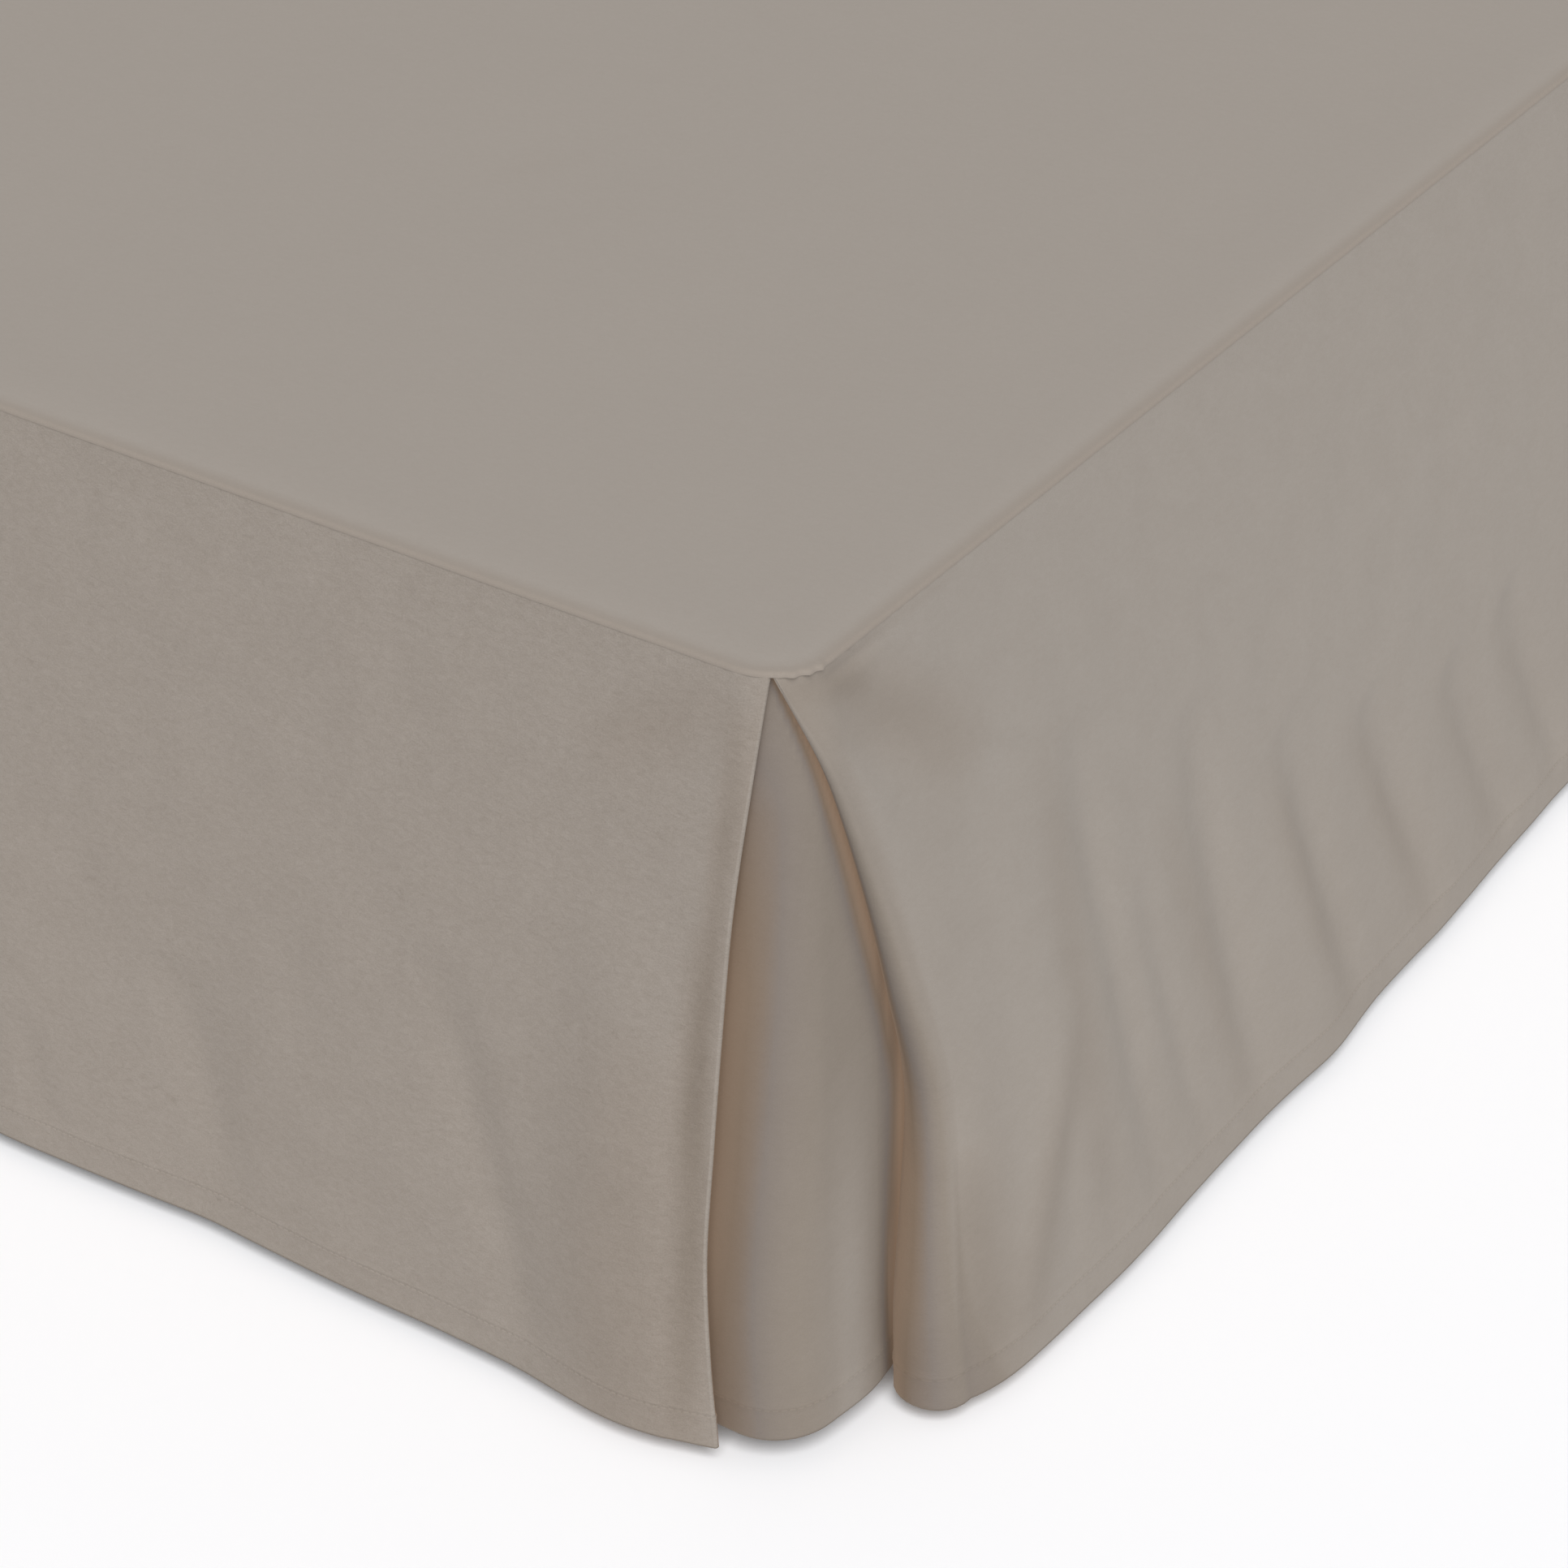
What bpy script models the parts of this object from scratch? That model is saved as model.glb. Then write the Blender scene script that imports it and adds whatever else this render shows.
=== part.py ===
"""A three-sided bed skirt on a plain bed base.

Metres, +Z up. The bed's width runs along X and its length along Y, with the foot end at -Y.
The base stands on six legs. A flat deck of cloth covers its top, and a foot panel and two side
panels hang from the deck's rim. At each foot corner the side panel folds back on itself, runs
round the corner behind the opening as the pleat's underlay, and ends behind the foot panel.
"""

import math

import bmesh
import bpy
import numpy as np

# Bed base
BASE_WIDTH = 1.40
BASE_LENGTH = 1.90
BASE_DEPTH = 0.18
BASE_BEVEL = 0.006
LEG_TOP_RADIUS = 0.030
LEG_FOOT_RADIUS = 0.023
LEG_INSET = 0.085
LEG_SIDES = 20
LEG_BEVEL = 0.002

# Cloth
CLOTH = 0.0012
GAP = 0.0003
LAYER_GAP = 0.0005
EDGE_CLEARANCE = 0.002
DROP = 0.35
HEM_CLEARANCE = 0.008
CORNER_RADIUS = 0.025
RIM_RADIUS = 0.0016
RIM_DEPTH = 0.002
RIM_STEPS = 3
CORNER_STEPS = 7

# Pleat at each foot corner. Its mouth is on the corner's arc, nearer to the foot.
MOUTH_ANGLE = math.radians(57)
PLEAT_DEPTH = 0.070
MOUTH_GAP = 0.0006
UNDERLAY_RAISE = 0.004
RETURN_SWING = 0.010
RETURN_POWER = 1.5
RAISE_OVER = 0.02

# How far each panel hangs out from the deck's rim at the hem
SIDE_FLARE = 0.0462
SIDE_FLARE_EASE = 0.0042
SIDE_EASE_AT = 0.46
SIDE_EASE_OVER = 0.05
FOOT_FLARE = 0.0128
FLARE_POWER = 1.1
SIDE_SETTLE = 0.019
FOOT_SETTLE = 0.012
FOOT_EDGE_SET = 0.0088
UNDERLAY_SET = 0.0035
UNDERLAY_POWER = 1.3
RIDGE = 0.0045
RIDGE_AT = 0.05
RIDGE_OVER = 0.025

# Heights of the sections, as shares of the drop
SHARES = (0.0, 0.08, 0.17, 0.27, 0.38, 0.50, 0.62, 0.73, 0.83, 0.92, 1.0)

# The pleat's two edges at shares of the drop: how far the foot panel's and the side panel's edge
# are drawn back from the mouth, how far out the side's rolled edge stands, and its half width
EDGE_COLUMNS = ("share", "foot", "side", "roll_out", "roll_half")
EDGES = (
    (0.00, 0.0003, 0.0003, 0.0000, 0.0000),
    (0.14, 0.0073, 0.0222, 0.0025, 0.0018),
    (0.30, 0.0143, 0.0421, 0.0053, 0.0038),
    (0.45, 0.0183, 0.0561, 0.0089, 0.0063),
    (0.60, 0.0216, 0.0672, 0.0123, 0.0084),
    (0.75, 0.0243, 0.0618, 0.0162, 0.0108),
    (0.88, 0.0225, 0.0548, 0.0198, 0.0132),
    (1.00, 0.0187, 0.0549, 0.0218, 0.0150),
)

# Soft folds: where each starts (share of the drop, distance from the pleat's mouth), where it
# meets the hem, its half width there, and how far it stands out (negative for a trough)
FOLD_COLUMNS = ("start_share", "start_along", "hem_along", "half_width", "height")
SIDE_FOLDS = (
    (0.45, 0.170, 0.185, 0.038, 0.0020),
    (0.45, 0.315, 0.350, 0.032, 0.0042),
    (0.50, 0.440, 0.470, 0.050, 0.0018),
    (0.45, 0.590, 0.600, 0.045, -0.0012),
    (0.40, 0.720, 0.710, 0.050, 0.0020),
    (0.50, 0.890, 0.900, 0.045, -0.0016),
    (0.45, 1.060, 1.045, 0.050, 0.0022),
    (0.40, 1.210, 1.220, 0.045, -0.0014),
    (0.50, 1.370, 1.360, 0.050, 0.0020),
    (0.45, 1.530, 1.540, 0.045, -0.0014),
    (0.50, 1.690, 1.680, 0.050, 0.0018),
)
FOOT_FOLDS = (
    (0.30, 0.060, 0.066, 0.034, 0.0066),
    (0.50, 0.262, 0.270, 0.034, -0.0024),
    (0.50, 0.375, 0.372, 0.050, 0.0030),
    (0.50, 0.520, 0.530, 0.050, -0.0014),
    (0.45, 0.630, 0.620, 0.045, 0.0016),
)

# Narrower creases that die out at both ends: each runs from one place to another, as distances
# from the mouth and down from the seam
CREASE_COLUMNS = ("from_along", "from_down", "to_along", "to_down", "half_width", "height")
SIDE_CREASES = (
    (0.152, 0.200, 0.098, 0.345, 0.012, 0.0020),
    (0.128, 0.100, 0.148, 0.310, 0.022, 0.0026),
    (0.172, 0.100, 0.207, 0.338, 0.011, -0.0036),
    (0.212, 0.190, 0.246, 0.338, 0.008, -0.0020),
    (0.255, 0.135, 0.294, 0.338, 0.013, -0.0044),
    (0.327, 0.180, 0.382, 0.340, 0.013, -0.0048),
    (0.402, 0.205, 0.463, 0.338, 0.013, -0.0052),
    (0.480, 0.225, 0.540, 0.340, 0.013, -0.0048),
    (0.540, 0.218, 0.600, 0.335, 0.013, -0.0048),
    (0.640, 0.210, 0.690, 0.338, 0.013, -0.0040),
    (0.745, 0.185, 0.775, 0.338, 0.013, -0.0034),
    (0.860, 0.220, 0.915, 0.338, 0.014, -0.0040),
    (0.985, 0.175, 1.010, 0.338, 0.014, -0.0034),
    (1.110, 0.210, 1.150, 0.338, 0.014, -0.0038),
    (1.270, 0.195, 1.290, 0.338, 0.015, -0.0034),
    (1.420, 0.220, 1.465, 0.338, 0.014, -0.0038),
    (1.590, 0.195, 1.600, 0.338, 0.014, -0.0034),
    (1.740, 0.225, 1.770, 0.338, 0.014, -0.0034),
)
FOOT_CREASES = (
    (0.151, 0.165, 0.103, 0.340, 0.013, -0.0026),
    (0.284, 0.220, 0.254, 0.340, 0.013, -0.0022),
    (0.364, 0.280, 0.354, 0.340, 0.008, -0.0012),
    (0.500, 0.220, 0.470, 0.340, 0.013, -0.0022),
    (0.620, 0.240, 0.630, 0.340, 0.013, -0.0020),
)
CREASE_ENDS = 0.7
FAR_SIDE_SHIFT = 0.035
FOLD_PEAK = 0.72
FOLD_FADE = 0.02
FOLD_TOP_WIDTH = 0.6

# Stations along a panel's run from the pleat, as distances from the pleat's edge. The side's are
# closer up to SIDE_NEAR_END, and both stop short of the run's end.
NEAR_STATIONS = (0.0, 0.007, 0.016, 0.028, 0.044)
SIDE_NEAR_STEP = 0.0135
SIDE_NEAR_END = 0.64
SIDE_FAR_STEP = 0.052
SIDE_END_CLEAR = 0.12
FOOT_STEP = 0.032
FOOT_END_CLEAR = 0.05
TURN_STEPS = 6
RETURN_STATIONS = (0.0, 0.05, 0.12, 0.22, 0.36, 0.60, 1.0)
UNDERLAY_BLEND = (0.0, 0.33, 0.66)
UNDERLAY_END_BLEND = (0.33, 0.66, 1.0)
UNDERLAY_JOIN = 0.052
UNDERLAY_STEP = 0.0048

PITCH = CLOTH + LAYER_GAP
DECK_HEIGHT = HEM_CLEARANCE + DROP + RIM_DEPTH
PANEL_TOP = HEM_CLEARANCE + DROP - GAP
LAYERS_DEEP = 3 * CLOTH + 2 * LAYER_GAP
BASE_INSET = LAYERS_DEEP + EDGE_CLEARANCE
HALF_WIDTH = BASE_WIDTH / 2 + BASE_INSET
HALF_LENGTH = BASE_LENGTH / 2 + BASE_INSET
BASE_TOP = DECK_HEIGHT - CLOTH - GAP
SIDE_ARC = CORNER_RADIUS * MOUTH_ANGLE
FOOT_ARC = CORNER_RADIUS * (math.pi / 2 - MOUTH_ANGLE)
OUTER_LAYER = -CLOTH / 2
UNDER_LAYER = OUTER_LAYER - 2 * PITCH
CLOSED_TURN = PITCH / 2
HEAD_RUN = SIDE_ARC + 2 * (HALF_LENGTH - CORNER_RADIUS)
MIDDLE_RUN = FOOT_ARC + HALF_WIDTH - CORNER_RADIUS
# The panels reach past the rim at the foot only, so the bed stands a little towards the head.
CENTRE_Y = FOOT_FLARE / 2


def cloth_material(name, colour):
    material = bpy.data.materials.new(name)
    material.use_nodes = True
    shader = material.node_tree.nodes["Principled BSDF"]
    shader.inputs["Base Color"].default_value = (*colour, 1.0)
    shader.inputs["Roughness"].default_value = 0.9
    return material


def column(table, columns, name):
    return np.array([row[columns.index(name)] for row in table])


def smooth_read(places, values, at):
    """A smooth curve through a short table's points."""
    slopes = np.gradient(values, places)
    index = int(np.clip(np.searchsorted(places, at) - 1, 0, len(places) - 2))
    width = places[index + 1] - places[index]
    u = (at - places[index]) / width
    return (
        (1 + 2 * u) * (1 - u) ** 2 * values[index]
        + u * (1 - u) ** 2 * width * slopes[index]
        + u * u * (3 - 2 * u) * values[index + 1]
        + u * u * (u - 1) * width * slopes[index + 1]
    )


def edge_at(name, share):
    """One column of the edges' table, at any share of the drop."""
    shares = column(EDGES, EDGE_COLUMNS, "share")
    return smooth_read(shares, column(EDGES, EDGE_COLUMNS, name), share)


def on_rail(along, out):
    """A point by the right foot corner: along is the distance from the pleat's mouth on the deck's
    outline, positive towards the head and negative across the foot, and out is outward from it."""
    centre_x = HALF_WIDTH - CORNER_RADIUS
    centre_y = CORNER_RADIUS - HALF_LENGTH
    if along > SIDE_ARC:
        return centre_x + CORNER_RADIUS + out, centre_y + along - SIDE_ARC
    if along < -FOOT_ARC:
        return centre_x + along + FOOT_ARC, centre_y - CORNER_RADIUS - out
    angle = along / CORNER_RADIUS - MOUTH_ANGLE
    reach = CORNER_RADIUS + out
    return centre_x + reach * math.cos(angle), centre_y + reach * math.sin(angle)


def fold_height(folds, along, share, shift=0.0):
    """How far the soft folds push the cloth out at one place."""
    total = 0.0
    for row in folds:
        fold = dict(zip(FOLD_COLUMNS, row))
        grown = (share - fold["start_share"]) / (1 - fold["start_share"])
        if grown <= 0:
            continue
        centre = fold["start_along"] + (fold["hem_along"] - fold["start_along"]) * grown + shift
        widened = FOLD_TOP_WIDTH + (1 - FOLD_TOP_WIDTH) * grown
        reach = (along - centre) / (fold["half_width"] * widened)
        swell = math.sin(math.pi / 2 * grown / FOLD_PEAK)
        total += fold["height"] * swell * math.exp(-reach * reach)
    return total


def crease_height(creases, along, down, shift=0.0):
    """How far the narrower creases push the cloth out at one place."""
    total = 0.0
    for row in creases:
        crease = dict(zip(CREASE_COLUMNS, row))
        run_along = crease["to_along"] - crease["from_along"]
        run_down = crease["to_down"] - crease["from_down"]
        length = math.hypot(run_along, run_down)
        along_it = along - shift - crease["from_along"]
        down_it = down - crease["from_down"]
        forward = (along_it * run_along + down_it * run_down) / length**2
        if not 0 < forward < 1:
            continue
        reach = (along_it * run_down - down_it * run_along) / length / crease["half_width"]
        swell = (4 * forward * (1 - forward)) ** CREASE_ENDS
        total += crease["height"] * swell * math.exp(-reach * reach)
    return total


def underlay_out(along, share):
    """The underlay hangs close to the base, with one soft ridge right of the corner."""
    ridge = RIDGE * math.exp(-(((along - RIDGE_AT) / RIDGE_OVER) ** 2))
    return UNDER_LAYER + share**UNDERLAY_POWER * (UNDERLAY_SET + ridge)


def turn(start, end, outward):
    """A round turn from one layer to another, bulging by half their distance along outward."""
    (along_a, out_a), (along_b, out_b) = start, end
    handle = outward * abs(out_b - out_a) * 2 / 3
    points = []
    for step in range(1, TURN_STEPS):
        u = step / TURN_STEPS
        bulge = 3 * u * (1 - u) * handle
        ease = u * u * (3 - 2 * u)
        points.append((along_a + (along_b - along_a) * u + bulge, out_a + (out_b - out_a) * ease))
    return points


class Pleat:
    """One side of the pleat at one height: the front layer, the rolled edge and the return.

    Distances run back from the mouth, and are positive on this side of it."""

    def __init__(self, side, share):
        soft = side == "side"
        self.way = 1 if soft else -1
        self.share = share
        self.folds = SIDE_FOLDS if soft else FOOT_FOLDS
        self.creases = SIDE_CREASES if soft else FOOT_CREASES
        self.flare = (SIDE_FLARE if soft else FOOT_FLARE) * share**FLARE_POWER
        self.ease = SIDE_FLARE_EASE * share if soft else 0.0
        self.settle = SIDE_SETTLE if soft else FOOT_SETTLE
        self.half_turn = CLOSED_TURN + (edge_at("roll_half", share) if soft else 0.0)
        edge_set = edge_at("roll_out", share) if soft else FOOT_EDGE_SET * share
        self.middle = OUTER_LAYER - CLOSED_TURN + edge_set
        self.edge = MOUTH_GAP / 2 + edge_at(side, share) + self.half_turn
        self.inner = self.edge + PLEAT_DEPTH

    def front(self, back, shift=0.0):
        """The panel's own offset at a distance back from the mouth."""
        edge_out = self.middle + self.half_turn
        from_edge = max(0.0, back - self.edge)
        eased = 1 / (1 + math.exp(-(back - SIDE_EASE_AT) / SIDE_EASE_OVER))
        full_out = OUTER_LAYER + self.flare - self.ease * eased
        rise = 1 - math.exp(-from_edge / self.settle)
        folds = fold_height(self.folds, back, self.share, shift)
        folds += crease_height(self.creases, back, self.share * (PANEL_TOP - HEM_CLEARANCE), shift)
        fade = min(1.0, from_edge / FOLD_FADE)
        return edge_out + (full_out - edge_out) * rise + folds * fade

    def behind(self, back):
        """The return's offset: it swings in from the edge to lie on the underlay."""
        resting = underlay_out(self.way * back, self.share) + PITCH
        edge_out = self.middle - self.half_turn
        from_edge = max(0.0, back - self.edge)
        swing = math.exp(-((from_edge / RETURN_SWING) ** RETURN_POWER))
        return resting + (edge_out - resting) * swing

    def edge_turn(self):
        start = (self.edge, self.front(self.edge))
        end = (self.edge, self.behind(self.edge))
        return turn(start, end, -1)

    def return_run(self):
        return [
            (self.edge + PLEAT_DEPTH * station, self.behind(self.edge + PLEAT_DEPTH * station))
            for station in RETURN_STATIONS
        ]

    def pulled_up(self, back):
        """The pleat's hidden cloth is drawn up a little at the hem."""
        return UNDERLAY_RAISE * self.share * min(1.0, max(0.0, back - self.edge) / RAISE_OVER)


def place(points, mirror):
    """Points in plan, with x turned over for the left corner."""
    return [(-x if mirror else x, y + CENTRE_Y, z) for x, y, z in points]


def level_at(share):
    return PANEL_TOP - share * (PANEL_TOP - HEM_CLEARANCE)


def side_stations():
    """Stations along a side panel, as distances from the pleat's edge."""
    near = np.arange(NEAR_STATIONS[-1] + SIDE_NEAR_STEP, SIDE_NEAR_END, SIDE_NEAR_STEP)
    far = np.arange(near[-1] + SIDE_FAR_STEP, HEAD_RUN - SIDE_END_CLEAR, SIDE_FAR_STEP)
    return [*NEAR_STATIONS, *near, *far]


def foot_stations():
    """Stations across half the foot panel, the same number at every height."""
    widest = max(edge_at("foot", share) for share in SHARES)
    last = MIDDLE_RUN - widest - FOOT_END_CLEAR + FOOT_STEP
    return [*NEAR_STATIONS, *np.arange(NEAR_STATIONS[-1] + FOOT_STEP, last, FOOT_STEP)]


def side_section(share, shift):
    """A side panel at one height, from the head end to where the underlay ends behind the foot."""
    pleat = Pleat("side", share)
    foot = Pleat("foot", share)
    backs = [HEAD_RUN] + [pleat.edge + station for station in reversed(side_stations())]
    run = [(back, pleat.front(back, shift), 0.0) for back in backs]
    run += [(*point, 0.0) for point in pleat.edge_turn()]
    returning = pleat.return_run()
    run += [(back, out, pleat.pulled_up(back)) for back, out in returning]
    inner_back, inner_out = returning[-1]
    raised = pleat.pulled_up(inner_back)
    inner = (inner_back, underlay_out(inner_back, share))
    run += [(*point, raised) for point in turn((inner_back, inner_out), inner, 1)]
    alongs = [inner_back + (UNDERLAY_JOIN - inner_back) * blend for blend in UNDERLAY_BLEND]
    around = np.arange(UNDERLAY_JOIN, -FOOT_ARC - UNDERLAY_STEP, -UNDERLAY_STEP)
    alongs += list(around)
    end = -(foot.inner - PITCH)
    last = alongs[-1]
    alongs += [last + (end - last) * blend for blend in UNDERLAY_END_BLEND]
    run += [(along, underlay_out(along, share), raised) for along in alongs]
    return [(*on_rail(along, out), level_at(share) + up) for along, out, up in run]


def foot_half(share):
    """The foot panel at one height, from the right pleat's hidden return to the bed's middle."""
    pleat = Pleat("foot", share)
    run = [(back, out, pleat.pulled_up(back)) for back, out in reversed(pleat.return_run())]
    run += [(*point, 0.0) for point in reversed(pleat.edge_turn())]
    backs = [pleat.edge + station for station in foot_stations()]
    run += [(back, pleat.front(back), 0.0) for back in backs]
    return [(*on_rail(-back, out), level_at(share) + up) for back, out, up in run]


def link(name, mesh, material):
    mesh.materials.append(material)
    thing = bpy.data.objects.new(name, mesh)
    bpy.context.scene.collection.objects.link(thing)
    return thing


def sheet(name, rows, material):
    """A cloth sheet: a grid of points through the middle of its thickness, made solid."""
    shape = bmesh.new()
    grid = [[shape.verts.new(point) for point in row] for row in rows]
    for upper, lower in zip(grid, grid[1:]):
        for i in range(len(upper) - 1):
            shape.faces.new((upper[i], upper[i + 1], lower[i + 1], lower[i]))
    bmesh.ops.recalc_face_normals(shape, faces=shape.faces[:])
    mesh = bpy.data.meshes.new(name)
    shape.to_mesh(mesh)
    shape.free()
    thing = link(name, mesh, material)
    solidify = thing.modifiers.new("thickness", "SOLIDIFY")
    solidify.thickness = CLOTH
    solidify.offset = 0.0
    solidify.use_even_offset = True
    return thing


def rounded_loop(inset, height):
    """The deck's outline, set in by a distance, as a closed loop of points."""
    radius = CORNER_RADIUS - inset
    points = []
    for corner in range(4):
        sign_x = (1, -1, -1, 1)[corner]
        sign_y = (1, 1, -1, -1)[corner]
        centre_x = sign_x * (HALF_WIDTH - inset - radius)
        centre_y = sign_y * (HALF_LENGTH - inset - radius) + CENTRE_Y
        for step in range(CORNER_STEPS + 1):
            angle = math.pi / 2 * (corner + step / CORNER_STEPS)
            points.append(
                (centre_x + radius * math.cos(angle), centre_y + radius * math.sin(angle), height)
            )
    return points


def lofted(name, loops, material):
    """A closed solid through a stack of loops, capped at its first and last."""
    shape = bmesh.new()
    rings = [[shape.verts.new(point) for point in loop] for loop in loops]
    for lower, upper in zip(rings, rings[1:]):
        for i in range(len(lower)):
            j = (i + 1) % len(lower)
            shape.faces.new((lower[i], lower[j], upper[j], upper[i]))
    shape.faces.new(list(reversed(rings[0])))
    shape.faces.new(rings[-1])
    bmesh.ops.recalc_face_normals(shape, faces=shape.faces[:])
    mesh = bpy.data.meshes.new(name)
    shape.to_mesh(mesh)
    shape.free()
    return link(name, mesh, material)


def build_deck(material):
    """The flat deck, with a rounded rim that turns down to the panels' seam."""
    arc = [math.pi / 2 * step / RIM_STEPS for step in range(RIM_STEPS + 1)]
    outer = [
        rounded_loop(RIM_RADIUS * (1 - math.sin(a)), DECK_HEIGHT - RIM_RADIUS * (1 - math.cos(a)))
        for a in arc
    ]
    hollow = RIM_RADIUS - CLOTH
    inner = [
        rounded_loop(
            CLOTH + hollow * (1 - math.sin(a)), DECK_HEIGHT - CLOTH - hollow * (1 - math.cos(a))
        )
        for a in arc
    ]
    rim = [
        rounded_loop(0.0, DECK_HEIGHT - RIM_DEPTH),
        rounded_loop(CLOTH, DECK_HEIGHT - RIM_DEPTH),
    ]
    lofted("deck_panel", outer + rim + inner[::-1], material)


def build_base(material):
    """The plain upholstered base that the skirt is fitted over."""
    bottom = BASE_TOP - BASE_DEPTH
    bevel = BASE_BEVEL
    soft = bevel * (1 - math.sqrt(0.5))
    loops = [
        rounded_loop(BASE_INSET + bevel, bottom),
        rounded_loop(BASE_INSET + soft, bottom + soft),
        rounded_loop(BASE_INSET, bottom + bevel),
        rounded_loop(BASE_INSET, BASE_TOP - bevel),
        rounded_loop(BASE_INSET + soft, BASE_TOP - soft),
        rounded_loop(BASE_INSET + bevel, BASE_TOP),
    ]
    lofted("bed_base", loops, material)


def build_legs(material):
    """Six turned legs, wider at the top, in two rows."""
    top = BASE_TOP - BASE_DEPTH - GAP
    across = BASE_WIDTH / 2 - LEG_INSET
    lengthwise = BASE_LENGTH / 2 - LEG_INSET
    rings = (
        (LEG_FOOT_RADIUS - LEG_BEVEL, 0.0),
        (LEG_FOOT_RADIUS, LEG_BEVEL),
        (LEG_TOP_RADIUS, top - LEG_BEVEL),
        (LEG_TOP_RADIUS - LEG_BEVEL, top),
    )
    places = (("head", lengthwise), ("middle", 0.0), ("foot", -lengthwise))
    for side, x in (("right", across), ("left", -across)):
        for end, y in places:
            loops = []
            for radius, height in rings:
                loops.append([])
                for step in range(LEG_SIDES):
                    angle = 2 * math.pi * step / LEG_SIDES
                    loops[-1].append(
                        (
                            x + radius * math.cos(angle),
                            y + CENTRE_Y + radius * math.sin(angle),
                            height,
                        )
                    )
            lofted(f"leg_{side}_{end}", loops, material)


def build_side_panel(name, mirror, shift, material):
    rows = [place(side_section(share, shift), mirror) for share in SHARES]
    sheet(name, rows, material)


def build_foot_panel(material):
    rows = []
    for share in SHARES:
        right = foot_half(share)
        left = [(-x, y, z) for x, y, z in reversed(right)]
        rows.append(place(right + left, False))
    sheet("foot_panel", rows, material)


def main():
    for old in list(bpy.data.objects):
        bpy.data.objects.remove(old, do_unlink=True)
    taupe = cloth_material("taupe_cloth", (0.31, 0.28, 0.25))
    ticking = cloth_material("base_cover", (0.62, 0.60, 0.56))
    wood = cloth_material("leg_wood", (0.20, 0.12, 0.07))
    build_base(ticking)
    build_legs(wood)
    build_deck(taupe)
    build_foot_panel(taupe)
    build_side_panel("side_panel_right", False, 0.0, taupe)
    build_side_panel("side_panel_left", True, FAR_SIDE_SHIFT, taupe)


main()
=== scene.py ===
import math

import bmesh
import bpy
import numpy as np
from mathutils import Matrix, Vector


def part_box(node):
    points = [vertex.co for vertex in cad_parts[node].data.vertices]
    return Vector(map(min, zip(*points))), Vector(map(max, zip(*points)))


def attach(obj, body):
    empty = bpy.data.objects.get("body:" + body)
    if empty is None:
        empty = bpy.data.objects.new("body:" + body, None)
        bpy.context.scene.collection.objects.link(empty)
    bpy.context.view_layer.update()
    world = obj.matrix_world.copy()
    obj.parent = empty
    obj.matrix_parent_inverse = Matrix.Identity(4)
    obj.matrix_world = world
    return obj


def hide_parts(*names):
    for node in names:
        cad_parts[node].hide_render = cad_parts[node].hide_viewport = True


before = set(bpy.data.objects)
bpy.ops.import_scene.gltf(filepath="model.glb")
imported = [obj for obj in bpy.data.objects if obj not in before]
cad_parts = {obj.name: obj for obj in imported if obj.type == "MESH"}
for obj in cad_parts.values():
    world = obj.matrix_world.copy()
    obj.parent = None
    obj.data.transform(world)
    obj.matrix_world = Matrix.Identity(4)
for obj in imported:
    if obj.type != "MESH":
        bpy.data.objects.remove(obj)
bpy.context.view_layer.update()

deckLow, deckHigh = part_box("deck_panel")

# The deck's outline and the cloth's drop, all in metres
bed = {
    "halfWidth": deckHigh[0],
    "halfLength": (deckHigh[1] - deckLow[1]) / 2,
    "centreY": (deckHigh[1] + deckLow[1]) / 2,
    "deckTop": deckHigh[2],
    "cornerRadius": 0.025,
    "panelTop": 0.3577,
    "hemHeight": 0.008,
}

pleat = {
    "mouthAngle": math.radians(57),  # where the mouth lies on the corner's arc, from the side
    "depth": 0.070,  # how far the cloth folds back behind each edge
    "mouthGap": 0.0006,
    "outerLayer": -0.0006,  # how far out of the deck's outline the front layer starts
    "layerPitch": 0.0017,
    "returnSwing": 0.010,  # behind an edge, the cloth swings back to its layer within about this
    "returnPower": 1.5,
    "hiddenRaise": 0.004,  # the pleat's own hem hangs this much higher
    "raiseOver": 0.02,
    "underlaySet": 0.0035,  # how far out the underlay has come at the hem, besides its ridge
    "underlayPower": 1.3,
    "ridge": 0.0045,
    "ridgeAt": 0.05,
    "ridgeOver": 0.025,
}

# Lengths along the deck's outline from the mouth: to the two ends of the corner's arc, to the
# head end and to the foot panel's middle
sideArc = bed["cornerRadius"] * pleat["mouthAngle"]
footArc = bed["cornerRadius"] * (math.pi / 2 - pleat["mouthAngle"])
headRun = sideArc + 2 * (bed["halfLength"] - bed["cornerRadius"])
middleRun = footArc + bed["halfWidth"] - bed["cornerRadius"]

# The pleat's edges down the drop: how far each is drawn back from the mouth, how far out the
# side's rolled edge stands, and the roll's half width
edgeColumns = ("share", "foot", "side", "rollOut", "rollHalf")
edgeTable = (
    (0.00, 0.0003, 0.0003, 0.0000, 0.0000),
    (0.14, 0.0073, 0.0222, 0.0025, 0.0018),
    (0.30, 0.0143, 0.0421, 0.0053, 0.0038),
    (0.45, 0.0183, 0.0561, 0.0089, 0.0063),
    (0.60, 0.0216, 0.0672, 0.0123, 0.0084),
    (0.75, 0.0243, 0.0618, 0.0162, 0.0108),
    (0.88, 0.0225, 0.0548, 0.0198, 0.0132),
    (1.00, 0.0187, 0.0549, 0.0218, 0.0150),
)

sidePanel = {
    "flare": 0.0462,
    "flareEase": 0.0042,  # the flare is this much less far from the pleat
    "settle": 0.019,  # the cloth comes out from the edge to the flare within about this
    "edgeSet": 0.0,
    "farSideShift": 0.035,  # the left panel's folds lie this much further along
    "rippleHeight": 0.00022,
    "seed": 4,
}

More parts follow.
